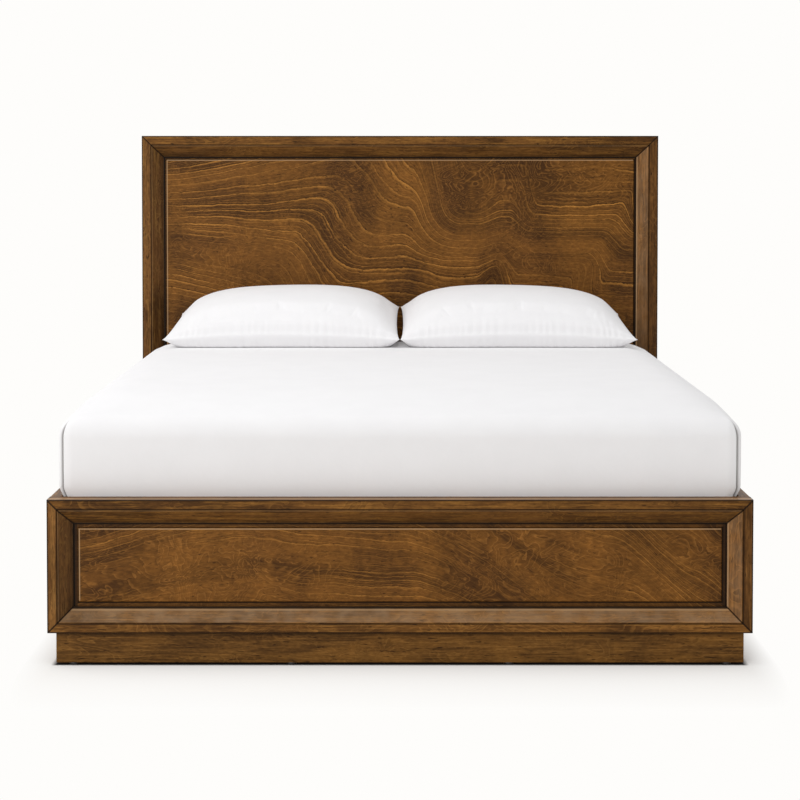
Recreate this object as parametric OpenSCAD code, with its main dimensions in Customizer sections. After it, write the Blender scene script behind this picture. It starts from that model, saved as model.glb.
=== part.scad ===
// Panel bed for one queen-size mattress.
// The headboard stands at +Y, the footboard at -Y, and Z is up from the floor.
// The origin is on the floor, under the middle of the bed.

/* [Mattress] */
// Width of the mattress
mattress_w = 1524; // [1370:1:1930]
// Length of the mattress
mattress_l = 2032; // [1900:1:2140]
// Height of the mattress at its crown
mattress_t = 305; // [220:1:380]
// How deep the mattress sits below the tops of the rails
mattress_sink = 86; // [60:1:110]
// How far the long sides of the mattress swell out
side_bulge = 20; // [8:1:20]
// How far the foot of the mattress swells out
foot_bulge = 11; // [4:1:12]
// How far the head of the mattress swells out
head_bulge = 5; // [2:1:6]
// Radius of the roll along the upper edge of the mattress
top_roll_r = 40; // [25:1:60]
// Radius of the roll along the lower edge of the mattress
bottom_roll_r = 25; // [15:1:40]
// Radius of the mattress corners seen from above
mattress_corner_r = 34; // [26:1:80]
// Fall from the crown of the mattress to the start of its edge roll
crown_fall = 45; // [20:1:60]
// Width of the sloping border along the sides and the head
side_slope_w = 130; // [90:1:250]
// Width of the sloping border along the foot
foot_slope_w = 330; // [200:1:420]
// Thickness of the fitted sheet
sheet_t = 1.2; // [0.8:0.1:2]

/* [Pillows] */
// Width of a pillow between its corner tips
pillow_w = 692; // [560:1:700]
// Depth of a pillow between its corner tips
pillow_l = 380; // [330:1:420]
// Height of the pillow crown above the mattress
pillow_h = 163; // [130:1:200]
// Height of the front seam tips above the mattress
pillow_tip_h = 24; // [16:1:40]
// Gap between the tips of the two pillows
pillow_gap = 9; // [6:1:40]
// Gap between the back of the pillows and the headboard
pillow_back_gap = 30; // [15:1:80]
// How far the back seam lies above the front seam
pillow_tilt = 56; // [20:1:80]
// How much further the inner back corner is pushed up
pillow_inner_lift = 21; // [0:1:40]
// How far the long seams arch up between the tips
pillow_arch = 14; // [0:1:20]
// How far the seams are drawn in between the tips
pillow_draw = 11; // [4:1:20]
// How much narrower the outer end is at the back
pillow_back_narrow = 22; // [0:1:40]
// Thickness of a pillowcase
case_t = 1.2; // [0.8:0.1:2]
// Slack between the pillow and its case
case_slack = 4; // [3.5:0.5:8]

/* [Boards and rails] */
// Height of the headboard above the floor
headboard_h = 1229; // [1000:1:1400]
// Height of the footboard and of the side rails above the floor
rail_top_h = 379; // [350:1:430]
// Height of the underside of the boards and rails above the floor
frame_bottom_h = 75; // [60:1:90]
// Thickness of the headboard and of the footboard
board_t = 62; // [60:1:75]
// Thickness of a side rail
rail_t = 25; // [22:1:32]
// Gap between the mattress and a side rail
side_gap = 13; // [12:1:25]
// Gap between the mattress and the headboard or the footboard
end_gap = 10; // [9:1:20]
// Chamfer along the outer edges of the wood
arris = 1.2; // [0.5:0.1:2]

/* [Mouldings] */
// Width of the flat outer border of the headboard
head_flat_w = 28; // [24:1:40]
// Width of the bevel inside the headboard border
head_bevel_w = 37; // [34:1:48]
// Depth of the headboard bevel
head_bevel_d = 30; // [20:1:31]
// Width of the flat outer border of the footboard
foot_flat_w = 22; // [20:1:34]
// Width of the bevel inside the footboard border
foot_bevel_w = 34; // [34:1:44]
// Depth of the footboard bevel
foot_bevel_d = 27; // [18:1:30]
// Width of the V groove between border and bevel
vee_w = 3; // [2:0.5:5]
// Depth of the V groove
vee_d = 2; // [1:0.5:3]
// Flat lip at the inner edge of a bevel
lip_w = 1.5; // [1:0.5:3]

/* [Panels] */
// Thickness of a fielded panel at its rim
panel_t = 10; // [8:1:11]
// Step from the inner lip of the bevel back to the panel
panel_step = 5; // [3:1:6]
// How far a panel reaches into the groove of its frame
tongue_w = 9; // [6:1:9]
// Height of the raised field of a panel
field_rise = 3; // [2:0.5:5]
// Chamfer around the raised field
field_chamfer = 3; // [2:0.5:5]
// Width of the sunk rim around the field of the headboard panel
head_rim_w = 6; // [4:1:30]
// Width of the sunk rim around the field of the footboard panel
foot_rim_w = 10; // [4:1:30]
// Thickness of a back panel
back_t = 12; // [9:1:12]
// Width of the rebate that a back panel lies in
rebate_w = 8; // [6:1:8]
// Thickness of a mitre spline
spline_t = 4; // [3:0.5:6]
// Length of a mitre spline along the mitre
spline_l = 34; // [24:1:36]
// Width of a mitre spline across the mitre
spline_w = 24; // [16:1:28]

/* [Plinth] */
// How far the plinth stands back from the outer faces
plinth_inset = 18; // [10:1:20]
// Thickness of a plinth board
plinth_t = 25; // [24:1:30]
// Height of a plinth glide
glide_h = 5; // [3:1:10]
// Diameter of a plinth glide
glide_d = 24; // [16:1:24]
// Distance from the end of a plinth to the middle of its last glide
glide_end = 39; // [30:1:80]
// Glides under each end plinth
end_glides = 4; // [2:1:6]
// Glides under each side plinth
side_glides = 3; // [2:1:5]

/* [Slats and ledgers] */
// Width of a slat
slat_w = 90; // [60:1:110]
// Thickness of a slat
slat_t = 18; // [15:1:22]
// Gap between a slat end and the side rail
slat_end_gap = 6; // [3:1:9]
// Width of a ledger
ledger_w = 30; // [24:1:40]
// Height of a ledger
ledger_h = 40; // [36:1:50]

/* [Centre support] */
// Width of the centre beam
beam_w = 45; // [40:1:60]
// Height of the centre beam
beam_h = 70; // [60:1:90]
// Width of a centre leg
leg_w = 45; // [40:1:60]
// Number of spaces that the three centre legs divide the beam into
leg_spaces = 4; // [4:1:6]
// Diameter of the pad of a levelling foot
foot_pad_d = 38; // [30:1:44]
// Height of the pad of a levelling foot
foot_pad_h = 8; // [6:1:12]
// How far a levelling foot screws out
foot_travel = 12; // [6:1:14]

/* [Hardware] */
// Thickness of the steel brackets and hangers
steel_t = 3; // [2:0.5:4]
// Length of a bracket leg
bracket_leg = 42; // [38:1:55]
// Height of a corner bracket
bracket_h = 120; // [90:1:130]
// Distance from the side rail to the middle of a corner bolt
bolt_offset = 13; // [11:1:14]
// Diameter of the machine bolts and of the foot stems
bolt_d = 8; // [6:1:8]
// Outer diameter of a threaded insert
insert_d = 12; // [10.5:0.5:12]
// Length of a threaded insert
insert_l = 16; // [12:1:18]
// Diameter of a wood screw
screw_d = 4; // [3:0.5:4.5]
// Diameter of the head of a wood screw
screw_head_d = 8; // [7.5:0.5:9]
// Length of the screws through brackets and hangers
bracket_screw_l = 14; // [10:1:14]
// Length of the slat screws
slat_screw_l = 40; // [32:1:45]
// Length of the screws that hold a ledger
ledger_screw_l = 45; // [40:1:48]
// Number of screws that hold a ledger
ledger_screw_count = 8; // [4:1:12]
// Width of the seat plate of a beam hanger beyond the beam, on each side
hanger_flange = 20; // [16:1:30]
// Length of the cheeks of a beam hanger
hanger_l = 45; // [30:1:70]

/* [Clearances] */
// Gap around a panel in its groove or rebate
panel_clearance = 0.3; // [0.2:0.1:0.6]
// Gap around a spline, a beam end and other wood in a socket
wood_clearance = 0.2; // [0.1:0.1:0.5]
// Gap between soft pieces, and between them and the wood
soft_clearance = 0.3; // [0.2:0.1:0.6]
// Radial gap around a bolt, a stem, an insert or a screw in its hole
thread_clearance = 0.05; // [0.02:0.01:0.1]

/* [Hidden] */
$fn = 48;

// Finishes
walnut = [0.43, 0.28, 0.14];
walnut_dark = [0.36, 0.23, 0.12];
veneer = [0.48, 0.31, 0.15];
poplar = [0.80, 0.69, 0.50];
steel = [0.25, 0.26, 0.28];
zinc = [0.72, 0.72, 0.70];
black_plastic = [0.08, 0.08, 0.08];
cotton = [0.96, 0.95, 0.94];
ticking = [0.90, 0.89, 0.86];

// Overall box of the frame
bed_w = mattress_w + 2 * side_gap + 2 * rail_t;
bed_l = mattress_l + 2 * end_gap + 2 * board_t;
half_w = bed_w / 2;
half_l = bed_l / 2;
inner_x = half_w - rail_t;
inner_y = half_l - board_t;

// Levels of the support under the mattress
slat_top = rail_top_h - mattress_sink;
ledger_top = slat_top - slat_t;
ledger_bottom = ledger_top - ledger_h;
beam_bottom = ledger_top - beam_h;
plinth_h = frame_bottom_h - glide_h;
leg_bottom = foot_pad_h + wood_clearance;

// A board is a frame of four mouldings around a fielded panel. It is given as
// the place of its front, its height, border width, bevel width, bevel depth and rim width.
HEAD = [inner_y, headboard_h, head_flat_w, head_bevel_w, head_bevel_d, head_rim_w];
FOOT = [-half_l, rail_top_h, foot_flat_w, foot_bevel_w, foot_bevel_d, foot_rim_w];
function front_y(board) = board[0];
function top_z(board) = board[1];
function flat_w(board) = board[2];
function bevel_w(board) = board[3];
function bevel_d(board) = board[4];
function rim_w(board) = board[5];
function member_w(board) = flat_w(board) + bevel_w(board);
function panel_face(board) = bevel_d(board) + panel_step;
function opening_w(board) = bed_w - 2 * member_w(board);
function opening_h(board) = top_z(board) - frame_bottom_h - 2 * member_w(board);
function opening_z(board) = frame_bottom_h + member_w(board);

// Cuts through a solid run this far past both of its faces
overcut = 1;

// The bevel starts a little below the border, on the far side of the V groove
vee_far_d = vee_d / 4;

// Cross-section of a moulding. The first number runs inwards from the outer edge,
// the second one back from the front face.
function moulding(board) =
    let (inner = member_w(board))
    let (groove_front = panel_face(board) - panel_clearance)
    let (groove_back = panel_face(board) + panel_t + panel_clearance)
    let (groove_end = inner - tongue_w - panel_clearance)
    let (rebate_front = board_t - back_t)
    let (rebate_end = inner - rebate_w)
    [
        [0, arris],
        [arris, 0],
        [flat_w(board), 0],
        [flat_w(board) + vee_w / 2, vee_d],
        [flat_w(board) + vee_w, vee_far_d],
        [inner - lip_w, bevel_d(board)],
        [inner, bevel_d(board)],
        [inner, groove_front],
        [groove_end, groove_front],
        [groove_end, groove_back],
        [inner, groove_back],
        [inner, rebate_front],
        [rebate_end, rebate_front],
        [rebate_end, board_t],
        [arris, board_t],
        [0, board_t - arris]
    ];

// A prism that keeps the part of a board between its two mitre planes.
// The outline is given in X and Z and runs through the whole thickness.
module through_board(board, outline) {
    translate([0, front_y(board) + board_t + overcut, 0])
        rotate([90, 0, 0])
            linear_extrude(height = board_t + 2 * overcut)
                polygon(outline);
}

// The four splines of a board, each lying across a mitre, grown by a clearance
module spline_set(board, clearance) {
    reach = flat_w(board) + vee_w;
    depth = bevel_d(board) - spline_t / 2;
    for (side = [-1, 1])
        for (end = [-1, 1])
            translate([
                side * (half_w - reach),
                front_y(board) + depth,
                end > 0 ? top_z(board) - reach : frame_bottom_h + reach
            ])
                rotate([0, side * end * 45, 0])
                    cube(
                        [
                            spline_w + 2 * clearance,
                            spline_t + 2 * clearance,
                            spline_l + 2 * clearance
                        ],
                        center = true
                    );
}

module stile(board, side) {
    reach = member_w(board) + overcut;
    difference() {
        intersection() {
            mirror([side > 0 ? 1 : 0, 0, 0])
                translate([-half_w, front_y(board), frame_bottom_h])
                    linear_extrude(height = top_z(board) - frame_bottom_h)
                        polygon(moulding(board));
            through_board(board, [
                [side * half_w, frame_bottom_h],
                [side * half_w, top_z(board)],
                [side * (half_w - reach), top_z(board) - reach],
                [side * (half_w - reach), frame_bottom_h + reach]
            ]);
        }
        spline_set(board, wood_clearance);
        place_board_inserts() insert_socket();
    }
}

module cross_rail(board, is_top) {
    reach = member_w(board) + overcut;
    edge = is_top ? top_z(board) : frame_bottom_h;
    inward = is_top ? -1 : 1;
    difference() {
        intersection() {
            translate([half_w, front_y(board), edge])
                mirror([0, 0, is_top ? 1 : 0])
                    rotate([0, -90, 0])
                        linear_extrude(height = bed_w)
                            polygon(moulding(board));
            through_board(board, [
                [-half_w, edge],
                [half_w, edge],
                [half_w - reach, edge + inward * reach],
                [-half_w + reach, edge + inward * reach]
            ]);
        }
        spline_set(board, wood_clearance);
        place_board_inserts() insert_socket();
    }
}

// A panel with a sunk rim and a raised field whose edges are chamfered
module fielded_panel(board) {
    slack = tongue_w - panel_clearance;
    panel_w = opening_w(board) + 2 * slack;
    panel_h = opening_h(board) + 2 * slack;
    field_w = opening_w(board) - 2 * rim_w(board);
    field_h = opening_h(board) - 2 * rim_w(board);
    root = panel_t / 2;
    face = panel_face(board);
    translate([0, front_y(board) + face, opening_z(board) + opening_h(board) / 2]) {
        translate([-panel_w / 2, 0, -panel_h / 2])
            cube([panel_w, panel_t, panel_h]);
        intersection() {
            translate([0, 0, -field_h / 2])
                linear_extrude(height = field_h)
                    polygon(field_outline(field_w, root));
            translate([field_w / 2, 0, 0])
                rotate([0, -90, 0])
                    linear_extrude(height = field_w)
                        polygon(field_outline(field_h, root));
        }
    }
}

function field_outline(length, root) = [
    [-length / 2, root],
    [-length / 2, 0],
    [-length / 2 + field_chamfer, -field_rise],
    [length / 2 - field_chamfer, -field_rise],
    [length / 2, 0],
    [length / 2, root]
];

module back_panel(board) {
    slack = rebate_w - panel_clearance;
    difference() {
        translate([
            -opening_w(board) / 2 - slack,
            front_y(board) + board_t - back_t,
            opening_z(board) - slack
        ])
            cube([opening_w(board) + 2 * slack, back_t, opening_h(board) + 2 * slack]);
        hanger_screw_holes();
    }
}

module end_plinth(end) {
    translate([
        -half_w + plinth_inset,
        end > 0 ? half_l - plinth_inset - plinth_t : -half_l + plinth_inset,
        glide_h
    ])
        cube([bed_w - 2 * plinth_inset, plinth_t, plinth_h]);
}

module side_plinth(side) {
    length = bed_l - 2 * plinth_inset - 2 * plinth_t;
    translate([
        side > 0 ? half_w - plinth_inset - plinth_t : -half_w + plinth_inset,
        -length / 2,
        glide_h
    ])
        cube([plinth_t, length, plinth_h]);
}

module glides() {
    end_x = half_w - plinth_inset - glide_end;
    end_y = half_l - plinth_inset - plinth_t / 2;
    side_x = half_w - plinth_inset - plinth_t / 2;
    side_y = end_y - plinth_t / 2 - glide_end;
    for (end = [-1, 1])
        for (i = [0 : end_glides - 1])
            translate([-end_x + 2 * end_x * i / (end_glides - 1), end * end_y, 0])
                cylinder(h = glide_h, d = glide_d);
    for (side = [-1, 1])
        for (i = [0 : side_glides - 1])
            translate([side * side_x, -side_y + 2 * side_y * i / (side_glides - 1), 0])
                cylinder(h = glide_h, d = glide_d);
}

// Side rail: a board with broken edges, seen from its end
module side_rail(side) {
    difference() {
        translate([side > 0 ? inner_x : -half_w, inner_y, frame_bottom_h])
            rotate([90, 0, 0])
                linear_extrude(height = 2 * inner_y)
                    polygon(broken_edges(rail_t, rail_top_h - frame_bottom_h, arris));
        ledger_screw_holes();
        bracket_screw_holes();
    }
}

function broken_edges(width, height, chamfer) = [
    [chamfer, 0],
    [width - chamfer, 0],
    [width, chamfer],
    [width, height - chamfer],
    [width - chamfer, height],
    [chamfer, height],
    [0, height - chamfer],
    [0, chamfer]
];

module ledger(side) {
    length = 2 * inner_y - 2 * end_gap;
    difference() {
        translate([side > 0 ? inner_x - ledger_w : -inner_x, -length / 2, ledger_bottom])
            cube([ledger_w, length, ledger_h]);
        ledger_screw_holes();
        slat_screw_holes();
    }
}

// Slats are numbered from the foot
slat_count = 13;
slat_pitch = (2 * inner_y - 2 * end_gap) / slat_count;
function slat_y(i) = -inner_y + end_gap + slat_pitch * (i - 0.5);
slat_screw_x = inner_x - ledger_w / 2;

module slat(i) {
    length = 2 * (inner_x - slat_end_gap);
    color(poplar)
        difference() {
            translate([-length / 2, slat_y(i) - slat_w / 2, ledger_top])
                rotate([90, 0, 90])
                    linear_extrude(height = length)
                        polygon(broken_edges(slat_w, slat_t, arris));
            slat_screw_holes();
        }
}

// A countersunk wood screw that points along -Z, with its head flush with Z = 0
module sunk_screw(length, clearance) {
    head_r = screw_head_d / 2 + clearance;
    shank_r = screw_d / 2 + clearance;
    head_depth = head_r - shank_r;
    mouth = clearance > 0 ? overcut : 0;
    rotate_extrude()
        polygon([
            [0, -length - clearance],
            [shank_r, -length - clearance],
            [shank_r, -head_depth],
            [head_r, 0],
            if (mouth > 0) [head_r, mouth],
            [0, mouth]
        ]);
}

// A pan head wood screw that points along -Z, with its head on Z = 0
pan_head_h = screw_head_d * 0.3;
module pan_screw(length, clearance) {
    translate([0, 0, -length - clearance])
        cylinder(h = length + clearance, r = screw_d / 2 + clearance);
    cylinder(h = pan_head_h, r = screw_head_d / 2 + clearance);
}

module place_slat_screws() {
    for (i = [1 : slat_count])
        for (side = [-1, 1])
            translate([side * slat_screw_x, slat_y(i), slat_top])
                children();
}

module slat_screw_holes() {
    place_slat_screws() sunk_screw(slat_screw_l, thread_clearance);
}

// The ledger screws lie below the points of the slat screws
ledger_screw_z = ledger_bottom + screw_head_d * 0.75;

module place_ledger_screws() {
    span = 2 * inner_y - 2 * end_gap;
    for (i = [1 : ledger_screw_count])
        for (side = [-1, 1])
            translate([
                side * (inner_x - ledger_w),
                -span / 2 + span * (i - 0.5) / ledger_screw_count + slat_pitch / 4,
                ledger_screw_z
            ])
                rotate([0, -side * 90, 0])
                    children();
}

module ledger_screw_holes() {
    place_ledger_screws() sunk_screw(ledger_screw_l, thread_clearance);
}

// Corner brackets join the side rails to the two boards
bracket_top = ledger_bottom - end_gap;
bracket_bottom = bracket_top - bracket_h;
bolt_x = inner_x - bolt_offset;

// Rows of bolts and screws as shares of the height of a bracket
bolt_rows = [0.25, 0.75];
bracket_screw_rows = [0.15, 0.5, 0.85];
bracket_screw_y = inner_y - bracket_leg * 0.68;

module corner_bracket(end, side) {
    y_wall = end * inner_y;
    difference() {
        union() {
            translate([
                side > 0 ? inner_x - steel_t : -inner_x,
                end > 0 ? y_wall - bracket_leg : y_wall,
                bracket_bottom
            ])
                cube([steel_t, bracket_leg, bracket_h]);
            translate([
                side > 0 ? inner_x - bracket_leg : -inner_x,
                end > 0 ? y_wall - steel_t : y_wall,
                bracket_bottom
            ])
                cube([bracket_leg, steel_t, bracket_h]);
        }
        place_bolts() bolt_hole();
        bracket_screw_holes();
    }
}

// Bolt axes point from the board out into the bed
module place_bolts() {
    for (end = [-1, 1])
        for (side = [-1, 1])
            for (row = bolt_rows)
                translate([
                    side * bolt_x,
                    end * (inner_y - steel_t),
                    bracket_bottom + bracket_h * row
                ])
                    rotate([end * 90, 0, 0])
                        children();
}

// Proportions of a button head with a hexagon socket
bolt_head_r = bolt_d * 0.8;
bolt_head_h = bolt_d * 0.55;
bolt_rim_h = bolt_head_h * 0.4;
bolt_crown_r = bolt_head_r * 0.6;
bolt_socket_d = bolt_d * 0.6;
bolt_shank_l = insert_l + steel_t - wood_clearance;

module bolt_hole() {
    translate([0, 0, -bolt_shank_l - overcut])
        cylinder(h = bolt_shank_l + 2 * overcut, r = bolt_d / 2 + thread_clearance);
}

module button_bolt() {
    translate([0, 0, -bolt_shank_l])
        cylinder(h = bolt_shank_l, r = bolt_d / 2);
    difference() {
        rotate_extrude()
            polygon([
                [0, 0],
                [bolt_head_r, 0],
                [bolt_head_r, bolt_rim_h],
                [bolt_crown_r, bolt_head_h],
                [0, bolt_head_h]
            ]);
        translate([0, 0, bolt_rim_h])
            cylinder(h = bolt_head_h, d = bolt_socket_d, $fn = 6);
    }
}

// A threaded insert with its mouth at Z = 0, and the socket that it is screwed into
module insert() {
    difference() {
        translate([0, 0, -insert_l])
            cylinder(h = insert_l, d = insert_d);
        translate([0, 0, -insert_l - overcut])
            cylinder(h = insert_l + 2 * overcut, r = bolt_d / 2 + thread_clearance);
    }
}
module insert_socket() {
    translate([0, 0, -insert_l - thread_clearance])
        cylinder(h = insert_l + thread_clearance + overcut, r = insert_d / 2 + thread_clearance);
}

module place_board_inserts() {
    place_bolts()
        translate([0, 0, -steel_t])
            children();
}

module place_leg_insert(i) {
    translate([0, leg_y(i), leg_bottom])
        rotate([180, 0, 0])
            children();
}

module place_bracket_screws() {
    for (end = [-1, 1])
        for (side = [-1, 1])
            for (row = bracket_screw_rows)
                translate([
                    side * (inner_x - steel_t),
                    end * bracket_screw_y,
                    bracket_bottom + bracket_h * row
                ])
                    rotate([0, -side * 90, 0])
                        children();
}

module bracket_screw_holes() {
    place_bracket_screws() pan_screw(bracket_screw_l, thread_clearance);
}

// Beam hangers are U-shaped seats with side flanges that are screwed to the back panels
hanger_inner_w = beam_w + 2 * wood_clearance;
hanger_plate_w = hanger_inner_w + 2 * steel_t + 2 * hanger_flange;
hanger_screw_x = hanger_plate_w / 2 - hanger_flange / 2;
hanger_screw_rows = [0.2, 0.8];

module place_hanger_screws() {
    for (end = [-1, 1])
        for (side = [-1, 1])
            for (row = hanger_screw_rows)
                translate([
                    side * hanger_screw_x,
                    end * (inner_y - steel_t),
                    beam_bottom + beam_h * row
                ])
                    rotate([end * 90, 0, 0])
                        children();
}

hanger_screw_l = back_t + steel_t - overcut;

module hanger_screw_holes() {
    place_hanger_screws() pan_screw(hanger_screw_l, thread_clearance);
}

module beam_hanger(end) {
    seat_z = beam_bottom - steel_t;
    wall_y = end > 0 ? inner_y - steel_t : -inner_y;
    cheek_y = end > 0 ? inner_y - hanger_l : -inner_y;
    difference() {
        union() {
            translate([-hanger_plate_w / 2, wall_y, seat_z])
                cube([hanger_plate_w, steel_t, beam_h + steel_t]);
            for (side = [-1, 1])
                translate([
                    side > 0 ? hanger_inner_w / 2 : -hanger_inner_w / 2 - steel_t,
                    cheek_y,
                    seat_z
                ])
                    cube([steel_t, hanger_l, beam_h + steel_t]);
            translate([-hanger_inner_w / 2 - steel_t, cheek_y, seat_z])
                cube([hanger_inner_w + 2 * steel_t, hanger_l, steel_t]);
        }
        hanger_screw_holes();
    }
}

module beam() {
    length = 2 * (inner_y - steel_t - wood_clearance);
    translate([-beam_w / 2, -length / 2, beam_bottom])
        cube([beam_w, length, beam_h]);
}

// Centre legs are numbered from the foot
leg_count = 3;
function leg_y(i) = 2 * inner_y * (i - (leg_count + 1) / 2) / leg_spaces;

// The stem still fills its insert when the foot is screwed out
stem_l = insert_l + foot_travel;
pad_top_r = foot_pad_d / 3;

module centre_leg(i) {
    difference() {
        translate([-leg_w / 2, leg_y(i) - leg_w / 2, leg_bottom])
            cube([leg_w, leg_w, beam_bottom - leg_bottom]);
        place_leg_insert(i) insert_socket();
        translate([0, leg_y(i), leg_bottom])
            cylinder(h = stem_l + overcut, r = bolt_d / 2 + thread_clearance);
    }
}

module levelling_foot(i) {
    translate([0, leg_y(i), 0]) {
        rotate_extrude()
            polygon([
                [0, 0],
                [foot_pad_d / 2 - arris, 0],
                [foot_pad_d / 2, arris],
                [foot_pad_d / 2, foot_pad_h / 2],
                [pad_top_r, foot_pad_h],
                [0, foot_pad_h]
            ]);
        translate([0, 0, foot_pad_h / 2])
            cylinder(h = foot_pad_h / 2 + stem_l, r = bolt_d / 2);
    }
}

// Soft forms. A ring body is a stack of rings of points, closed by a fan at each end.
// Rings run anticlockwise seen from above. The outside lies to the right of the way
// that the stack is climbed, so a stack that goes down inside and up outside is a shell.
// The diagonals of the first steps can be turned, so that the inside of a shell is split
// into the same triangles as the body that it wraps.
module ring_body(rings, first, last, turned = 0) {
    count = len(rings[0]);
    points = [for (ring = rings) for (p = ring) p];
    start = len(points);
    finish = start + 1;
    faces = [
        for (i = [0 : len(rings) - 2])
            for (j = [0 : count - 1])
                for (half = [0, 1])
                    let (here = i * count + j)
                    let (next = i * count + (j + 1) % count)
                    let (above = here + count)
                    let (above_next = next + count)
                    half == 0
                        ? [here, above, i < turned ? next : above_next]
                        : [i < turned ? above : here, above_next, next],
        for (j = [0 : count - 1])
            [start, j, (j + 1) % count],
        for (j = [0 : count - 1])
            let (base = (len(rings) - 1) * count)
            [finish, base + (j + 1) % count, base + j]
    ];
    polyhedron(points = concat(points, [first, last]), faces = faces, convexity = 6);
}

// Mattress and sheet share one profile, from the lower roll to the crown. A profile
// point holds the share of the side bulge, the inset from the side, the height on a level
// top, the outward and the upward part of its normal, and how far it follows the fall.
mattress_z = slat_top + soft_clearance;
mattress_top_z = mattress_z + mattress_t;
mattress_half_w = mattress_w / 2;
mattress_half_l = mattress_l / 2;
bottom_roll_steps = 3;
side_steps = 4;
side_fullness = 0.8;
top_roll_steps = 4;
crown_insets = [80, 140, 240, 380];

function bottom_roll(first_step) = [
    for (k = [first_step : bottom_roll_steps])
        let (angle = 90 * (1 - k / bottom_roll_steps))
        let (inset = bottom_roll_r * (1 - cos(angle)))
        let (z = mattress_z + bottom_roll_r * (1 - sin(angle)))
        [0, inset, z, cos(angle), -sin(angle), 0]
];
function side_wall() =
    let (low = mattress_z + bottom_roll_r)
    let (high = mattress_top_z - top_roll_r)
    [
        for (k = [1 : side_steps])
            let (share = k / side_steps)
            [pow(sin(90 * share), side_fullness), 0, low + (high - low) * share, 1, 0, share]
    ];
function top_roll() = [
    for (k = [1 : top_roll_steps])
        let (angle = 90 * k / top_roll_steps)
        let (inset = top_roll_r * (1 - cos(angle)))
        let (z = mattress_top_z - top_roll_r * (1 - sin(angle)))
        [1, inset, z, cos(angle), sin(angle), 1]
];
function crown() = [for (inset = crown_insets) [1, inset, mattress_top_z, 0, 1, 1]];

// The fall of the top towards its edges
function slope_share(distance, width) = max(0, 1 - max(0, distance) / width);
function top_fall(x, y) =
    let (across = slope_share(mattress_half_w + side_bulge - abs(x), side_slope_w))
    let (to_head = slope_share(mattress_half_l + head_bulge - y, side_slope_w))
    let (to_foot = slope_share(mattress_half_l + foot_bulge + y, foot_slope_w))
    let (along = max(to_head, to_foot))
    crown_fall * (1 - (1 - across * across) * (1 - along * along));

// A rounded rectangle, anticlockwise
corner_steps = 3;
edge_steps = 6;
function corner_point(hx, hy, r, quadrant, k) =
    let (sx = quadrant == 0 || quadrant == 3 ? 1 : -1)
    let (sy = quadrant < 2 ? 1 : -1)
    let (angle = 90 * (quadrant + k / corner_steps))
    [sx * (hx - r) + r * cos(angle), sy * (hy - r) + r * sin(angle)];
function rounded_ring(hx, hy, r) = [
    for (quadrant = [0 : 3])
        let (from = corner_point(hx, hy, r, quadrant, corner_steps))
        let (to = corner_point(hx, hy, r, (quadrant + 1) % 4, 0))
        each concat(
            [for (k = [0 : corner_steps]) corner_point(hx, hy, r, quadrant, k)],
            [for (k = [1 : edge_steps - 1]) from + (to - from) * k / edge_steps]
        )
];

least_corner_r = 10;
function mattress_ring(p, grow) =
    let (spread = grow * p[3] - p[1])
    let (hx = mattress_half_w + side_bulge * p[0] + spread)
    let (head = mattress_half_l + head_bulge * p[0] + spread)
    let (foot = mattress_half_l + foot_bulge * p[0] + spread)
    let (r = max(least_corner_r, mattress_corner_r + spread))
    [
        for (q = rounded_ring(hx, (head + foot) / 2, r))
            let (y = q[1] + (head - foot) / 2)
            [q[0], y, p[2] + grow * p[4] - p[5] * top_fall(q[0], y)]
    ];

module mattress() {
    profile = concat(bottom_roll(0), side_wall(), top_roll(), crown());
    color(ticking)
        ring_body(
            [for (p = profile) mattress_ring(p, 0)],
            [0, 0, mattress_z],
            [0, 0, mattress_top_z]
        );
}

// The sheet is a shell that ends in its hem, one step round the lower roll
module fitted_sheet() {
    profile = concat(bottom_roll(1), side_wall(), top_roll(), crown());
    inside = soft_clearance;
    outside = soft_clearance + sheet_t;
    last = len(profile) - 1;
    color(cotton)
        ring_body(
            concat(
                [for (i = [last : -1 : 0]) mattress_ring(profile[i], inside)],
                [for (i = [0 : last]) mattress_ring(profile[i], outside)]
            ),
            [0, 0, mattress_top_z + inside],
            [0, 0, mattress_top_z + outside],
            last
        );
}

// Pillow. Its two coordinates run from -1 to 1, across the bed from its outer end
// to its inner end, and from the front seam to the back seam.
pillow_rest_z = mattress_top_z + sheet_t + 2 * soft_clearance;
pillow_x = (pillow_w + pillow_gap) / 2;
pillow_y = inner_y - pillow_back_gap - pillow_l / 2;
across_power = 4;
across_ease = 0.64;
along_power = 2;
along_ease = 0.5;
lower_depth = 90;

function seam_z(u, v) =
    let (back = (v + 1) / 2)
    pillow_rest_z + pillow_tip_h + pillow_tilt * back
        + pillow_inner_lift * back * (u + 1) / 2
        + pillow_arch * (1 - u * u);
crown_rise = pillow_rest_z + pillow_h - seam_z(0, 0);
function fullness(u, v) =
    let (across = max(0, 1 - pow(abs(u), across_power)))
    let (along = max(0, 1 - pow(abs(v), along_power)))
    pow(across, across_ease) * pow(along, along_ease);

// A point of the skin of the left pillow. Grow moves the seam out and the two faces
// apart, and the lower face stays flat where it rests.
function pillow_point(u, v, face, grow) =
    let (narrow = u < 0 ? pillow_back_narrow * (v + 1) / 2 : 0)
    let (x = (pillow_w / 2 + grow - pillow_draw * (1 - v * v) - narrow) * u)
    let (y = (pillow_l / 2 + grow - pillow_draw * (1 - u * u)) * v)
    let (full = fullness(u, v))
    let (high = seam_z(u, v) + (crown_rise + grow) * full)
    let (low = seam_z(u, v) - (lower_depth + grow) * full)
    [x, y, face > 0 ? high : max(low, pillow_rest_z - grow)];

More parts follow.
